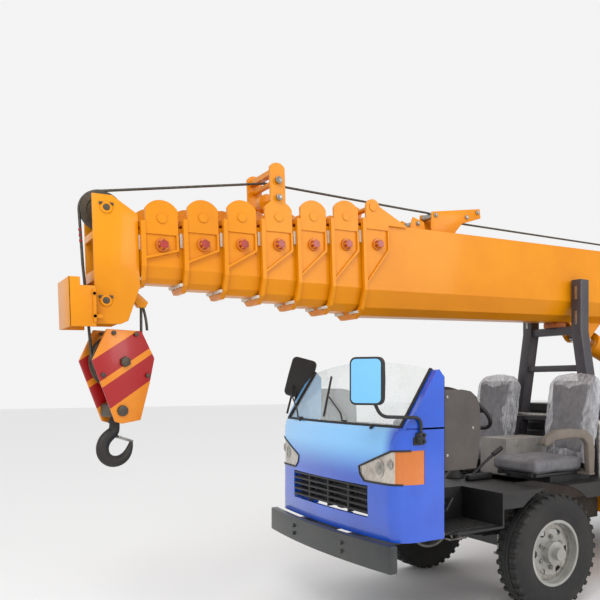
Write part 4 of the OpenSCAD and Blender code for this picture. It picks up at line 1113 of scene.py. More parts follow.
def film_cover(name, half_wide, half_deep, height, seed):
    """A loose clear bag pulled over a chair's back, open below, with long folds and tape round it."""
    rows = []
    for j in range(39):
        t = j / 38
        z = height * t
        shrink = 1.0 if t < 0.86 else math.sqrt(
            max(0.0, 1 - ((t - 0.86) / 0.14) ** 2)
        ) * 0.6 + 0.4 * (1 - (t - 0.86) / 0.14)
        waist = 0.86 + 0.14 * min(1, t * 3.0)
        row = []
        for i in range(97):
            a = 2 * math.pi * (i % 96) / 96
            c, d = math.cos(a), math.sin(a)
            y = half_wide * waist * math.copysign(abs(c) ** 0.45, c) * max(shrink, 0.02) ** 0.4
            x = half_deep * math.copysign(abs(d) ** 0.6, d) * max(shrink, 0.02)
            fold = 0.010 * film_noise(a * 7, z * 6, seed) * (1 - 0.6 * t * t)
            strap = 0.005 if abs(z - 0.47 * height) < 0.012 or abs(z - 0.25 * height) < 0.012 else 0.0
            push = 1 + (fold - strap) / max(math.hypot(x, y), 0.06)
            row.append((x * push, y * push, z + 0.012 * film_noise(a * 3, 1.3, seed + 2) * (1 - t) ** 2))
        rows.append(row)
    bag = sheet_of(name, rows)
    bpy.ops.object.mode_set(mode="EDIT")
    bpy.ops.mesh.select_all(action="SELECT")
    bpy.ops.mesh.remove_doubles(threshold=0.0006)
    bpy.ops.mesh.normals_make_consistent(inside=False)
    bpy.ops.object.mode_set(mode="OBJECT")
    bpy.ops.object.shade_smooth()
    return bag


seat_pad = swell(block("seat_pad", (-0.235, -0.222, -0.038), (0.235, 0.222, 0.038), 0.02, 3), 0.016)
back_pad = swell(block("back_pad", (-0.038, -0.212, 0.02), (0.038, 0.212, 0.60), 0.03, 3), 0.02)
recline = placed((0.33, 0, 0.915), -9, "Y") @ Matrix.Translation((-0.055, 0, 0))
for word, y, node, seed in (
    ("driver", 0.41, "driver_chair", 1.7), ("passenger", -0.41, "passenger_chair", 4.2)
):
    across = Matrix.Translation((0, y, 0))
    seat = copied(seat_pad, word + "_seat", across @ Matrix.Translation((0.58, 0, 0.912)))
    back = copied(back_pad, word + "_back", across @ recline)
    for pad, fill in ((seat, 0.7), (back, 0.75)):
        fit(pad, "chassis", "chair_cover", seat_cloth)
    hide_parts(node)
    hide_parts(node)
    bag = film_cover(word + "_film", 0.226, 0.054, 0.638, seed)
    bag.data.transform(across @ recline)
    fit(bag, "chassis", "chair_cover", film)
    rails = [block("chair_frame", (0.30, y - 0.19, 0.84), (0.78, y + 0.19, 0.862), 0.005)]
    for dy in (-0.15, 0.15):
        rails.append(block("slide", (0.27, y + dy - 0.016, 0.84), (0.80, y + dy + 0.016, 0.868), 0.005))
    rails.append(disc("recline_knob", (0.33, y + 0.232, 0.885), 0.03, 0.03, "Y", 0.008, 32, 3))
    frame_rails = fit(joined(word + "_chair_frame", rails), "chassis", "black_plastic", black_plastic)
    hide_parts(node)
bpy.data.objects.remove(seat_pad)
bpy.data.objects.remove(back_pad)

arm_edge = [
    (0.33, 0.85), (0.322, 1.01), (0.35, 1.11), (0.42, 1.15), (0.56, 1.162), (0.70, 1.157), (0.785, 1.122),
    (0.812, 1.072), (0.79, 1.05), (0.70, 1.092), (0.56, 1.10), (0.44, 1.092), (0.396, 1.05), (0.384, 0.85)
]
arm_rest = joined("arm_rest", [
    prism("arm", arm_edge, 0.66, 0.71, "Y", 0.014),
    block("arm_foot", (0.33, 0.595, 0.842), (0.384, 0.71, 0.856), 0.003),
])
fit(
    arm_rest, "chassis", "grey_plastic",
    finish_of(
        "arm_brown", colour(118, 108, 98), colour(98, 90, 82), 0.55, cloud=6, pits=0.5, pit_size=300
    )
)
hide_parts("driver_chair")

box_trim = [block("box_lid", (0.205, -0.137, 1.035), (0.615, 0.137, 1.061), 0.010, 3)]
for x in (0.30, 0.52):
    box_trim.append(block("box_catch", (x - 0.02, 0.137, 1.0), (x + 0.02, 0.142, 1.05), 0.002))
fit(joined("engine_box_lid", box_trim), "chassis", "grey_plastic", light_grey)

# Grab rail behind the chairs: one bright steel tube, bent at two corners
# and welded to the cab's floor at its feet
rail = tube(
    "grab_rail",
    rounded_way(
        [(0.155, -0.60, 0.80), (0.155, -0.60, 1.22), (0.155, 0.60, 1.22), (0.155, 0.60, 0.80)], 0.07
    ),
    0.014, 14
)
fit(rail, "chassis", "steel", bright_steel)

# Cooler and pump pack: a folded sheet housing with pressed louvre blades and cover bolts,
# and four rubber hoses that leave it at the back and go down into the deck
louvres = []
for i in range(6):
    louvres.append(
        block(
            "blade", (-0.136, -0.498, 0.865 + 0.07 * i), (-0.106, 0.498, 0.873 + 0.07 * i), 0.002,
            turn=(0, 35, 0)
        )
    )
for y in (-0.53, 0.53):
    for z in (0.83, 1.05, 1.26):
        louvres.append(disc("cover_bolt", (-0.108, y, z), 0.010, 0.008, "X", 0.002, 6))
fit(joined("pack_louvres", louvres), "chassis", "frame_black", frame_black)
hoses = []
for i, y in enumerate((-0.36, -0.22, 0.22, 0.36)):
    hoses.append(
        tube(
            "hose",
            rounded_way(
                [
                    (-0.42, y, 0.95), (-0.505, y, 0.95), (-0.515, y, 0.84), (-0.62, y, 0.825),
                    (-0.66, y, 0.79)
                ],
                0.05
            ),
            0.014, 10
        )
    )
    hoses.append(disc("hose_end", (-0.445, y, 0.95), 0.022, 0.04, "X", 0.003, 6))
fit(joined("pack_hoses", hoses), "chassis", "black_plastic", rubber)


# Boom rest: welded posts in slate paint, with bright steel strips on their horns as painted highlights for
# the light through their slots, bolted down at their feet, and an orange pad on the top rung, over which the
# boom lies
slate = finish_of(
    "slate", colour(52, 48, 55), colour(70, 66, 70), 0.5, clear=0.1, cloud=5, pits=0.3, pit_size=80,
    edge=0.003
)
post_edge = [(0.214, 2.25), (0.214, 1.86), (0.405, 0.78), (0.50, 0.78), (0.309, 1.86), (0.309, 2.25)]
rest_parts = []
for side in (1, -1):
    rest_parts.append(prism("post", [(side * y, z) for y, z in post_edge], -0.0775, 0.0175, "X", 0.006))
for half, z0, z1 in ((0.23, 1.84, 1.90), (0.304, 1.555, 1.603), (0.394, 1.165, 1.213)):
    rest_parts.append(block("rung", (-0.06, -half, z0), (0.0, half, z1), 0.005))
rest_parts.append(block("foot_plate", (-0.09, -0.52, 0.78), (0.03, 0.52, 0.787), 0.002))
rest_frame = fit(joined("rest_frame", rest_parts), "chassis", "frame_black", slate)
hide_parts("boom_rest")
rest_pads = [block("saddle_pad", (-0.08, -0.075, 1.899), (0.02, 0.075, 1.940), 0.006)]
fit(
    joined("saddle_pad", rest_pads), "chassis", "grey_plastic",
    finish_of("pad_orange", colour(176, 92, 34), colour(140, 70, 26), 0.6, cloud=14, pits=0.3)
)
rest_bits = []
for side in (1, -1):
    # Painted highlights: thin bright steel strips on the horns' faces stand for the light through their slots
    for z in (1.96, 2.15):
        rest_bits.append(
            block(
                "horn_painted_highlight", (0.0172, side * 0.262 - 0.011, z - 0.05),
                (0.0192, side * 0.262 + 0.011, z + 0.05), 0.0008, 1
            )
        )
    for dx in (-0.082, 0.022):
        rest_bits.append(disc("foot_bolt", (dx, side * 0.51, 0.792), 0.008, 0.010, "Z", 0.002, 6))
fit(joined("rest_fittings", rest_bits), "chassis", "steel", bright_steel)

# Turret, winch, outriggers and boom sections: folded and welded high-tensile plate
# in orange-yellow gloss paint; the rods of the cylinder and of the legs are chromed
boom_yellow = finish_of(
    "boom_yellow", colour(226, 142, 1), colour(214, 128, 0), 0.36, clear=0.14, cloud=1.3, pits=0.06,
    pit_size=40, edge=0.003
)
repaint(
    boom_yellow, "turret", "winch_drum", "luff_barrel", "boom_base", "rope_presser", "boom_head",
    "outrigger_boxes", *["section_%d" % k for k in range(2, 9)],
    *["beam_%s_%s" % (end, side) for end in ("front", "rear") for side in ("left", "right")]
)
boom_yellow.node_tree.nodes["Principled BSDF"].inputs["Specular IOR Level"].default_value = 0.22
repaint(black_plastic, "control_station")
chrome = finish_of("chrome", colour(205, 205, 205), colour(180, 180, 182), 0.12, metal=1.0, cloud=3)
repaint(chrome, "luff_rod", "leg_front_left", "leg_front_right", "leg_rear_left", "leg_rear_right")

slew_bolts = []
for i in range(28):
    a = 2 * math.pi * i / 28
    slew_bolts.append(
        disc(
            "ring_bolt", (ring_x + 0.455 * math.cos(a), 0.455 * math.sin(a), 0.906), 0.013, 0.016, "Z",
            0.002, 6, 1
        )
    )
fit(joined("slew_bolts", slew_bolts), "turret", "steel", bright_steel)
pivot_bits = []
for side in (1, -1):
    for x, z, r in ((boom_pivot[0], boom_pivot[2], 0.085), (drum_x, drum_z, 0.08)):
        pivot_bits.append(
            block(
                "keeper", (x - 0.05, side * 0.27 - 0.008, z - 0.012),
                (x + 0.05, side * 0.27 + 0.008, z + 0.012), 0.003, turn=(0, 30, 0)
            )
        )
        for i in range(6):
            a = math.radians(60 * i)
            pivot_bits.append(
                disc(
                    "boss_bolt", (x + r * 0.76 * math.cos(a), side * 0.264, z + r * 0.76 * math.sin(a)),
                    0.010, 0.012, "Y", 0.002, 6, 1
                )
            )
fit(joined("pivot_keepers", pivot_bits), "turret", "steel", bright_steel)

# Control stand: a moulded rubber boot at the foot of each lever
# and a ball knob screwed on its top
stand_bits = []
for i in range(4):
    y = 0.475 + 0.11 * i
    stand_bits.append(disc("boot", (-1.66, y, 1.472), 0.032, 0.03, "Z", 0.004, 28, 2, 0.014))
    stand_bits.append(disc("knob", (-1.66, y, 1.655), 0.023, 0.04, "Z", 0.016, 24, 4))
fit(joined("lever_boots", stand_bits), "turret", "black_plastic", rubber)

# Winch rope: seven-strand steel wire rope, wound in one layer of close turns
# on the drum from flange to flange
turns = []
for i in range(27):
    turns.append(
        lathed(
            "turn",
            [
                (0.103, -0.007), (0.110, -0.0062), (0.1168, -0.003), (0.118, 0.0), (0.1168, 0.003),
                (0.110, 0.0062), (0.103, 0.007)
            ],
            (drum_x, -0.182 + 0.014 * i, drum_z), 48
        )
    )
fit(joined("rope_turns", turns), "winch_drum", "steel", rope_steel)

# Luff hoses: two hydraulic hoses of black rubber, from the turret
# up along the luff cylinder's barrel
luff_hoses = []
for y in (0.045, -0.045):
    luff_hoses.append(
        tube(
            "luff_hose", rounded_way([(-2.08, y, 1.22), (-1.9, y, 1.325), (-1.2, y, 1.615)], 0.05), 0.011,
            10
        )
    )
fit(joined("luff_hoses", luff_hoses), "luff_barrel", "black_plastic", rubber)

# Boom parts are laid out along the boom, from its pivot: x forward along it, z square to it
boom = placed(boom_pivot, 1.8, "Y")


def on_boom(piece):
    piece.data.transform(boom)
    return piece


bolt_red = finish_of(
    "bolt_red", colour(170, 36, 14), colour(130, 24, 10), 0.35, clear=0.5, cloud=25, pits=0.1
)
pad_white = finish_of("pad_white", colour(214, 210, 198), colour(180, 172, 156), 0.55, cloud=12, pits=0.2)
# Painted shade: the boss rings round the pad bolts get a darker copy of the boom paint
painted_shade_orange = finish_of(
    "painted_shade_orange", colour(214, 112, 6), colour(186, 92, 6), 0.3, clear=0.5, cloud=3, edge=0.002
)
for k in range(8):
    body = "boom" if k == 0 else "section_%d" % (k + 1)
    half, roof, front = 0.2 - 0.015 * k, 0.34 - 0.0225 * k, 4.66 + 0.211 * k
    low = 0.06 - (0.28 - 0.0225 * k)
    if k < 7:
        x, z = front - 0.024 - 0.0825, roof - 0.132 + 0.006 * k
        heads = []
        rings = []
        for side in (1, -1):
            heads.append(
                on_boom(disc("bolt_head", (x, side * (half + 0.0335), z), 0.0272, 0.027, "Y", 0.004, 6))
            )
            heads.append(
                on_boom(
                    disc("bolt_face", (x, side * (half + 0.0475), z), 0.021, 0.004, "Y", 0.001, 24, 1)
                )
            )
            rings.append(
                on_boom(
                    lathed(
                        "boss_ring",
                        [
                            (0.036, 0.0), (0.036, side * 0.018), (0.033, side * 0.0225),
                            (0.026, side * 0.0235), (0.026, 0.0), (0.036, 0.0)
                        ],
                        (x, side * half, z), 40
                    )
                )
            )
        fit(joined("pad_bolts_%d" % (k + 1), heads), body, "steel", bolt_red)
        fit(joined("pad_bosses_%d" % (k + 1), rings), body, "boom_yellow", painted_shade_orange)
        pads = []
        for side in (1, -1):
            pads.append(
                on_boom(
                    block(
                        "side_pad", (front - 0.002, side * (half - 0.0105) - 0.004, roof - 0.125),
                        (front + 0.012, side * (half - 0.0105) + 0.004, roof - 0.05), 0.0015
                    )
                )
            )
            pads.append(
                on_boom(
                    block(
                        "low_pad", (front - 0.002, side * half * 0.45 - 0.05, low + 0.010),
                        (front + 0.014, side * half * 0.45 + 0.05, low + 0.026), 0.002
                    )
                )
            )
        fit(joined("slide_pads_%d" % (k + 1), pads), body, "grey_plastic", pad_white)

# Weld beads: the fillets of weld metal that join each collar to its section,
# one on each side, painted over with the boom
for k in range(7):
    body = "boom" if k == 0 else "section_%d" % (k + 1)
    half, roof, front = 0.2 - 0.015 * k, 0.34 - 0.0225 * k, 4.66 + 0.211 * k
    beads = []
    for side in (1, -1):
        x = front - 0.189
        beads.append(
            on_boom(
                tube(
                    "bead", [(x, side * (half + 0.001), roof - 0.045 - 0.012 * i) for i in range(10)],
                    0.0035, 6
                )
            )
        )
    fit(joined("collar_welds_%d" % (k + 1), beads), body, "boom_yellow", boom_yellow)


# Rope presser on the base section: a folded channel with four rollers that keeps the rope down,
# its cheeks cut from plate and bolted through the roller pins
presser_edge = [
    (4.03, 0.34), (4.032, 0.402), (4.022, 0.50), (3.595, 0.566), (3.588, 0.50), (3.761, 0.444),
    (3.82, 0.38), (3.84, 0.34)
]
small_edge = [(4.08, 0.34), (4.09, 0.42), (4.18, 0.446), (4.198, 0.40), (4.21, 0.34)]
presser = []
presser_pins = []
for side in (1, -1):
    presser.append(on_boom(prism("presser_cheek", presser_edge, side * 0.062, side * 0.072, "Y", 0.0025)))
    presser.append(on_boom(prism("presser_cheek", small_edge, side * 0.062, side * 0.072, "Y", 0.0025)))
    for x, z in ((3.994, 0.478), (3.72, 0.492), (3.62, 0.536), (4.144, 0.406)):
        presser_pins.append(on_boom(disc("pin_head", (x, side * 0.077, z), 0.017, 0.009, "Y", 0.003, 6)))
        presser_pins.append(on_boom(disc("pin_end", (x, side * 0.084, z), 0.009, 0.008, "Y", 0.002, 20)))
presser.append(
    on_boom(block("presser_web", (3.64, -0.064, 0.522), (3.70, 0.064, 0.528), 0.002, turn=(0, 8, 0)))
)
presser = fit(joined("presser_cheeks", presser), "boom", "boom_yellow", boom_yellow)
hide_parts("rope_presser")
for x, z, r in ((3.994, 0.478, 0.020), (3.72, 0.492, 0.018), (3.62, 0.536, 0.012), (4.144, 0.406, 0.022)):
    outline = [
        (0.006, -0.060), (r, -0.060), (r + 0.004, -0.052), (r, -0.042), (r, 0.042), (r + 0.004, 0.052),
        (r, 0.060), (0.006, 0.060), (0.006, -0.060)
    ]
    presser_pins.append(on_boom(lathed("presser_roller", outline, (x, 0, z), 32)))
fit(joined("presser_rollers", presser_pins), "boom", "steel", bright_steel)

# Tall rope guide on the fourth section: steel nuts and studs
# at both ends of the two pins that hold its cheeks
guide_pins = []
for side in (1, -1):
    for z, r in ((0.5195, 0.022), (0.4225, 0.02)):
        guide_pins.append(on_boom(disc("guide_nut", (5.1865, side * 0.188, z), r, 0.014, "Y", 0.003, 6)))
        guide_pins.append(
            on_boom(disc("guide_stud", (5.1865, side * 0.197, z), r * 0.5, 0.010, "Y", 0.002, 20))
        )
fit(joined("guide_pins", guide_pins), "section_4", "steel", bright_steel)

# Boom head: two cheeks cut from plate and welded to the last section, joined by webs, with a grooved
# sheave on each pin; a folded guard is bolted in front so that the rope can't leave the lower sheave
cheek_edge = [
    (5.932, -0.11), (5.994, -0.286), (6.032, -0.304), (6.141, -0.304), (6.147, -0.14), (6.147, 0.341),
    (6.052, 0.341), (5.932, 0.259)
]
# Painted light: the head's cheeks, guard and wedge socket get a slightly lighter copy of the boom paint
painted_lit_head_yellow = finish_of(
    "painted_lit_head_yellow", colour(228, 146, 4), colour(216, 132, 2), 0.36, clear=0.14, cloud=2, edge=0.003
)
head_parts = []
for side in (1, -1):
    head_parts.append(on_boom(prism("cheek", cheek_edge, side * 0.095, side * 0.107, "Y", 0.003)))
    for x, z in ((6.082, 0.276), (6.097, -0.188)):
        head_parts.append(
            on_boom(
                lathed(
                    "pin_boss",
                    [
                        (0.017, 0.0), (0.017, side * 0.008), (0.026, side * 0.008), (0.032, side * 0.002),
                        (0.032, 0.0), (0.017, 0.0)
                    ],
                    (x, side * 0.107, z), 40
                )
            )
        )
for z0, z1 in ((-0.09, -0.036), (0.12, 0.156)):
    head_parts.append(on_boom(block("front_web", (6.137, -0.096, z0), (6.147, 0.096, z1), 0.003)))
for z0, z1 in ((-0.0825, -0.064), (0.184, 0.2025)):
    head_parts.append(on_boom(block("collar_bar", (5.934, -0.096, z0), (5.962, 0.096, z1), 0.003)))
painted_lit_head_yellow.node_tree.nodes["Principled BSDF"].inputs["Specular IOR Level"].default_value = 0.22
guard_side = [
    (6.153, -0.321), (6.271, -0.321), (6.271, -0.081), (6.219, -0.081), (6.219, -0.121), (6.153, -0.121)
]
guard = [on_boom(block("guard_front", (6.263, -0.15, -0.321), (6.271, 0.15, -0.081), 0.003))]
for side in (1, -1):
    guard.append(on_boom(prism("guard_side", guard_side, side * 0.142, side * 0.15, "Y", 0.003)))
    guard.append(
        on_boom(
            block(
                "guard_arm", (6.119, side * 0.125 - 0.018, -0.281), (6.156, side * 0.125 + 0.018, -0.259),
                0.003
            )
        )
    )
    guard.append(
        on_boom(
            block(
                "guard_ear", (6.151, side * 0.1495 - 0.0075, -0.301),
                (6.167, side * 0.1495 + 0.0075, -0.133), 0.003
            )
        )
    )
# wedge socket: a cast wedge box on a pin between the cheeks, with the rope's end gripped inside
socket_edge = [
    (-0.018, 0), (0.018, 0), (0.038, 0.03), (0.064, 0.106), (0.064, 0.128), (0.04, 0.128), (0.04, 0.088),
    (0.02, 0.076), (0.0, 0.06), (-0.032, 0.03)
]
socket = prism(
    "wedge_socket", [(3.09 + a, 1.8573 + b) for a, b in socket_edge], -0.044, 0.004, "Y", 0.005
)
boom_head = fit(
    joined("head_plates", head_parts + guard + [socket]), "section_8", "boom_yellow", painted_lit_head_yellow
)
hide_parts("boom_head")

sheave_grey = finish_of(
    "sheave_grey", colour(72, 68, 62), colour(96, 84, 66), 0.45, metal=0.5, cloud=18, pits=0.3,
    pit_size=160
)


def sheave(name, x, z, radius, wide, groove=0.008, flange=0.014):
    """A cast sheave: hub, thin web, heavy rim and a groove as deep as the rope."""
    h = wide / 2
    rim = radius + flange
    outline = [
        (0.015, -0.030), (0.034, -0.030), (0.036, -0.010), (radius - 0.030, -0.009), (radius - 0.026, -h),
        (rim - 0.003, -h), (rim, -h + 0.003), (rim - 0.002, -h + 0.006), (radius - groove, -0.006),
        (radius - groove - 0.002, 0.0), (radius - groove, 0.006), (rim - 0.002, h - 0.006),
        (rim, h - 0.003), (rim - 0.003, h), (radius - 0.026, h), (radius - 0.030, 0.009), (0.036, 0.010),
        (0.034, 0.030), (0.015, 0.030), (0.015, -0.030)
    ]
    return lathed(name, outline, (x, 0, z), 72)


head_turning = [
    on_boom(sheave("head_sheave", 6.082, 0.276, 0.100, 0.036, 0.004, 0.003)),
    on_boom(sheave("low_sheave", 6.097, -0.188, 0.06, 0.044))
]
for x, z in ((6.082, 0.276), (6.097, -0.188)):
    head_turning.append(on_boom(disc("head_pin", (x, 0, z), 0.017, 0.232, "Y", 0.003, 32)))
    for side in (1, -1):
        head_turning.append(
            on_boom(
                block(
                    "pin_keeper", (x - 0.034, side * 0.111 - 0.003, z + 0.012),
                    (x + 0.034, side * 0.111 + 0.003, z + 0.026), 0.002
                )
            )
        )
        for dx in (-0.026, 0.026):
            head_turning.append(
                on_boom(
                    disc("keeper_bolt", (x + dx, side * 0.116, z + 0.019), 0.006, 0.008, "Y", 0.001, 6)
                )
            )
        head_turning.append(
            on_boom(disc("guard_bolt", (6.159, side * 0.158, -0.16), 0.008, 0.008, "Y", 0.001, 6))
        )
        head_turning.append(
            on_boom(disc("guard_bolt", (6.159, side * 0.158, -0.27), 0.008, 0.008, "Y", 0.001, 6))
        )
head_turning.append(disc("socket_pin", (3.142, -0.02, 1.974), 0.013, 0.21, "Y", 0.003, 24))
fit(joined("head_sheaves", head_turning), "section_8", "steel", sheave_grey)

# Rope: the same wire rope runs from the drum over the rear roller, under the presser, over the tall
# guide and the head sheave, and down in two falls to the hook block
rope_d = 0.014


def rope_run(name, points, pieces):
    return tube(
        name, [tuple(Vector(points[0]).lerp(Vector(points[1]), i / pieces)) for i in range(pieces + 1)],
        rope_d / 2, 12
    )


def boom_point(x, z, y=0.0):
    return tuple(boom @ Vector((x, y, z)))


rear_top = (-2.925, 0, 2.66)
drum_back = (-3.315, 0, 1.68)
winch_run = rope_run("rope_from_drum", (drum_back, rear_top), 24)
winch_run.data.materials.append(rope_steel)
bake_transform(winch_run)
roof_run = tube(
    "rope_on_base",
    [rear_top] + rounded_way(
        [
            boom_point(-0.105, 0.415), boom_point(3.713, 0.462), boom_point(3.994, 0.505),
            boom_point(4.2, 0.5097)
        ],
        0.05
    ),
    rope_d / 2, 12
)
fit(roof_run, "boom", "steel", rope_steel)
stations = [(4.2, 0.5097), (5.1865, 0.5425), (6.082, 0.381)]
for (first, last), (x0, z0), (x1, z1) in (
    ((0, 3), stations[0], stations[1]), ((3, 7), stations[1], stations[2])
):
    count = last - first
    for i in range(count):
        near = (x0 + (x1 - x0) * i / count, z0 + (z1 - z0) * i / count)
        far = (x0 + (x1 - x0) * (i + 1) / count, z0 + (z1 - z0) * (i + 1) / count)
        run = rope_run("rope_run_%d" % (first + i + 1), (boom_point(*near), boom_point(*far)), 16)
        run.data.materials.append(rope_steel)
        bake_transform(run)
over_head = []
for i in range(13):
    a = math.radians(90 - 7.5 * i)
    over_head.append(boom_point(6.082 + 0.105 * math.cos(a), 0.276 + 0.105 * math.sin(a)))
front_down = over_head + [boom_point(6.178, 0.0), (3.357, 0, 1.865)]
fit(tube("rope_over_head", front_down, rope_d / 2, 12), "section_8", "steel", rope_steel)
rope_red = finish_of("rope_red", colour(168, 26, 18), colour(120, 20, 16), 0.6, cloud=30)
marks = []
for t in (0.22, 0.34, 0.46):
    a = Vector(boom_point(6.187, 0.23)).lerp(Vector(boom_point(6.178, 0.0)), t)
    b = Vector(boom_point(6.187, 0.23)).lerp(Vector(boom_point(6.178, 0.0)), t + 0.05)
    marks.append(tube("rope_mark", [a, b], rope_d / 2 + 0.0012, 12))
fit(joined("rope_marks", marks), "section_8", "steel", rope_red)
falls = joined("rope_fall_lines", [
    rope_run("front_fall", ((3.3399, 0.0367, 1.569), (3.357, 0, 1.866)), 12),
    rope_run("rear_fall", ((3.0841, -0.0367, 1.569), (3.09, -0.02, 1.858)), 12),
])
fit(falls, "rope_falls", "steel", rope_steel)
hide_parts("rope_falls")

# Hook block: two cheeks flame-cut from plate and painted in warning stripes, bolted together over
# a cast sheave, with a forged cross head below that carries the hook
stripes = finish_of(
    "stripes", colour(226, 136, 2), colour(212, 116, 2), 0.36, clear=0.14, cloud=3, edge=0.003
)
tree = stripes.node_tree
where = tree.nodes.new("ShaderNodeTexCoord")
slant = tree.nodes.new("ShaderNodeVectorMath")
slant.operation = "DOT_PRODUCT"
slant.inputs[1].default_value = (0.6402, 0.1836, 1.0)
tree.links.new(where.outputs["Object"], slant.inputs[0])
bands = []
for middle, half in ((2.0563 + 1.618, 0.066), (2.0563 + 1.4475, 0.0665)):
    away = tree.nodes.new("ShaderNodeMath")
    away.operation = "COMPARE"
    away.inputs[1].default_value = middle
    away.inputs[2].default_value = half
    tree.links.new(slant.outputs["Value"], away.inputs[0])
    bands.append(away)
either = tree.nodes.new("ShaderNodeMath")
either.operation = "MAXIMUM"
tree.links.new(bands[0].outputs["Value"], either.inputs[0])
tree.links.new(bands[1].outputs["Value"], either.inputs[1])
banded = tree.nodes.new("ShaderNodeMix")
banded.data_type = "RGBA"
banded.inputs[7].default_value = (*colour(160, 6, 9), 1)
tree.links.new(either.outputs["Value"], banded.inputs[0])
tree.links.new(tree.nodes["colour"].outputs[2], banded.inputs[6])
tree.links.new(banded.outputs[2], tree.nodes["Principled BSDF"].inputs["Base Color"])

at_block = placed((3.212, 0, 0), 16, "Z")


def on_block(piece):
    piece.data.transform(at_block)
    return piece


block_edge = [
    (-0.093, 1.731), (0.093, 1.731), (0.166, 1.570), (0.048, 1.264), (0.012, 1.253), (-0.088, 1.268),
    (-0.139, 1.459), (-0.166, 1.591)
]
block_parts = [
    on_block(prism("block_cheek", block_edge, side * 0.059, side * 0.073, "Y", 0.003)) for side in (1, -1)
]
block_cheeks = fit(joined("block_cheeks", block_parts), "hook_block", "boom_yellow", stripes)
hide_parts("hook_block")
inner = [sheave("block_sheave", 0, 1.569, 0.128, 0.040)]
inner.append(disc("block_pin", (0, 0, 1.569), 0.022, 0.166, "Y", 0.003, 32))
for side in (1, -1):
    inner.append(disc("pin_nut", (0, side * 0.081, 1.569), 0.028, 0.016, "Y", 0.003, 6))
    inner.append(disc("cross_pin", (0.0135, side * 0.079, 1.319), 0.028, 0.014, "Y", 0.004, 32))
    for s, z in ((0.06, 1.713), (-0.06, 1.713), (-0.125, 1.50), (0.115, 1.50)):
        inner.append(disc("spacer_nut", (s, side * 0.078, z), 0.0125, 0.011, "Y", 0.002, 6))
for s, z in ((0.06, 1.713), (-0.06, 1.713)):
    inner.append(disc("spacer", (s, 0, z), 0.009, 0.118, "Y", 0.001, 20))
inner.append(block("cross_head", (-0.034, -0.058, 1.287), (0.062, 0.058, 1.357), 0.012, 3))
for piece in inner:
    on_block(piece)
fit(joined("block_fittings", inner), "hook_block", "steel", sheave_grey)

# Hook: drop forged, thickest at the bowl's front and foot and drawn out to a rounded point, on a
# threaded shank with a nut and a thrust collar; a sprung steel latch closes its mouth
hook_black = finish_of(
    "hook_black", colour(30, 29, 29), colour(52, 47, 42), 0.5, metal=0.25, cloud=10, pits=0.7, pit_size=70
)
hook_z = 1.126
hook_way = [
    (0, 0.150), (0, 0.105), (0.006, 0.083), (0.030, 0.066), (0.052, 0.044), (0.065, 0.012),
    (0.063, -0.024), (0.046, -0.052), (0.016, -0.069), (-0.018, -0.070), (-0.048, -0.057),
    (-0.070, -0.034), (-0.083, -0.004), (-0.090, 0.022), (-0.093, 0.034)
]
hook_fat = [
    0.025, 0.026, 0.029, 0.031, 0.0315, 0.0315, 0.0315, 0.031, 0.030, 0.0285, 0.026, 0.022, 0.0165,
    0.0105, 0.004
]
line = bpy.data.curves.new("hook_line", "CURVE")
line.dimensions = "3D"
line.bevel_depth = 1.0
line.bevel_resolution = 6
line.use_fill_caps = True
spline = line.splines.new("NURBS")
spline.points.add(len(hook_way) - 1)
for knot, (s, z), fat in zip(spline.points, hook_way, hook_fat):
    knot.co = (s, 0, hook_z + z, 1)
    knot.radius = fat
spline.use_endpoint_u = True
spline.order_u = 3
spline.resolution_u = 5
forging = bpy.data.objects.new("hook_forging", line)
bpy.context.scene.collection.objects.link(forging)
pick(forging)
bpy.ops.object.convert(target="MESH")
forging = bpy.context.object
forging.data.transform(Matrix.Scale(0.80, 4, (0, 1, 0)))
bpy.ops.object.shade_smooth()
at_hook = placed((3.225, 0, 0), 16, "Z")
hook_parts = [
    forging, disc("thrust_collar", (0, 0, 1.262), 0.031, 0.018, "Z", 0.004, 40),
    disc("shank", (0, 0, 1.268), 0.022, 0.06, "Z", 0.002, 32)
]
for piece in hook_parts:
    piece.data.transform(at_hook)
hook = fit(joined("forged_hook", hook_parts), "hook", "hook_black", hook_black)
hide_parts("hook")
latch_edge = [
    (-0.010, 0.066), (-0.026, 0.060), (-0.098, 0.034), (-0.094, 0.022), (-0.030, 0.044), (-0.008, 0.050)
]
latch_parts = [prism("latch_plate", [(s, hook_z + z) for s, z in latch_edge], -0.013, 0.013, "Y", 0.003),
               disc("latch_pin", (-0.014, 0, hook_z + 0.058), 0.006, 0.056, "Y", 0.001, 20)]
for piece in latch_parts:
    piece.data.transform(at_hook)
fit(joined("hook_latch", latch_parts), "hook", "steel", bright_steel)

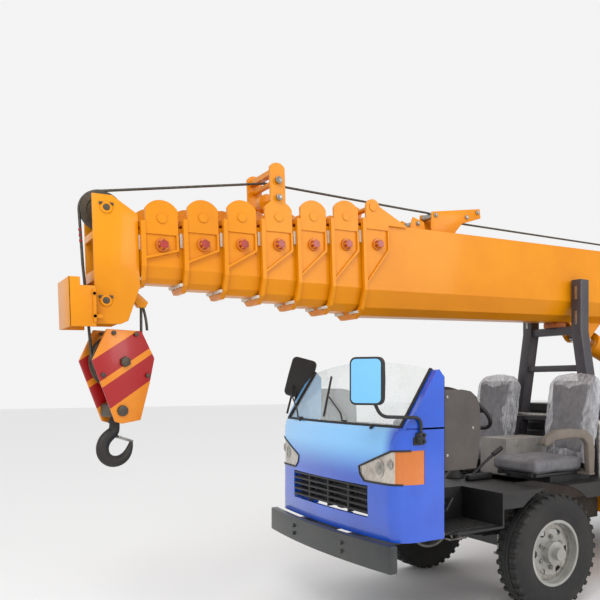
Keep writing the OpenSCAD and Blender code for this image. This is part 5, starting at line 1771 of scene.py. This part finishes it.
# Outriggers: steel bolts in the end flanges of the boxes, and on each leg a cap
# held by four bolts, with a hose union in its middle
rig_bits = []
for x in (front_rig_x, rear_rig_x):
    for side in (1, -1):
        for dx in (-0.12, 0.12):
            rig_bits.append(disc("box_bolt", (x + dx, side * 0.893, 0.60), 0.012, 0.012, "Y", 0.002, 6))
fit(joined("outrigger_bolts", rig_bits), "chassis", "steel", bright_steel)
for place, x0 in (("front", front_rig_x), ("rear", rear_rig_x)):
    for word, side in (("left", 1), ("right", -1)):
        x = x0 + side * 0.075
        y = side * 0.958
        caps = [
            disc("cap_bolt", (x + dx, y + dy, 0.864), 0.010, 0.012, "Z", 0.002, 6)
            for dx in (-0.042, 0.042) for dy in (-0.042, 0.042)
        ]
        caps.append(disc("union", (x, y, 0.866), 0.018, 0.016, "Z", 0.003, 6))
        fit(
            joined("leg_cap_%s_%s" % (place, word), caps), "beam_%s_%s" % (place, word), "steel",
            bright_steel
        )

# Deck: steel chequer plate, its raised studs rolled in at right angles to one another
# and painted like the frame
studs = []
stud = block("stud", (-0.013, -0.004, 0), (0.013, 0.004, 0.0022), 0.0015, 1)
for i in range(39):
    for j in range(32):
        x, y = -3.0 + 0.06 * i, -0.93 + 0.06 * j
        if abs(y) < 0.47 and x < -1.45 or abs(y) < 0.62 and x > -0.75:
            continue
        studs.append(
            copied(
                stud, "stud_copy",
                placed((x, y, 0.7855), 45 if (i + j) % 2 else -45, "Z")
            )
        )
bpy.data.objects.remove(stud)
fit(joined("deck_studs", studs), "chassis", "frame_black", frame_black)

# Tanks: a square fuel tank and a round oil tank, hung in straps with a filler cap each
tank_bits = [
    disc("fuel_cap", (-1.0, -0.80, 0.752), 0.045, 0.03, "Z", 0.006, 36),
    disc("oil_cap", (-1.0, 0.67, 0.768), 0.04, 0.03, "Z", 0.006, 36),
]
for x in (-1.47, -0.87):
    tank_bits.append(
        lathed(
            "strap", [(0.1905, -0.02), (0.1945, -0.02), (0.1945, 0.02), (0.1905, 0.02), (0.1905, -0.02)],
            (0, 0, 0), 64
        )
    )
    tank_bits[-1].data.transform(
        placed((x, 0.67, 0.57), 90, "Z")
    )
fit(joined("tank_straps", tank_bits), "chassis", "steel", bright_steel)
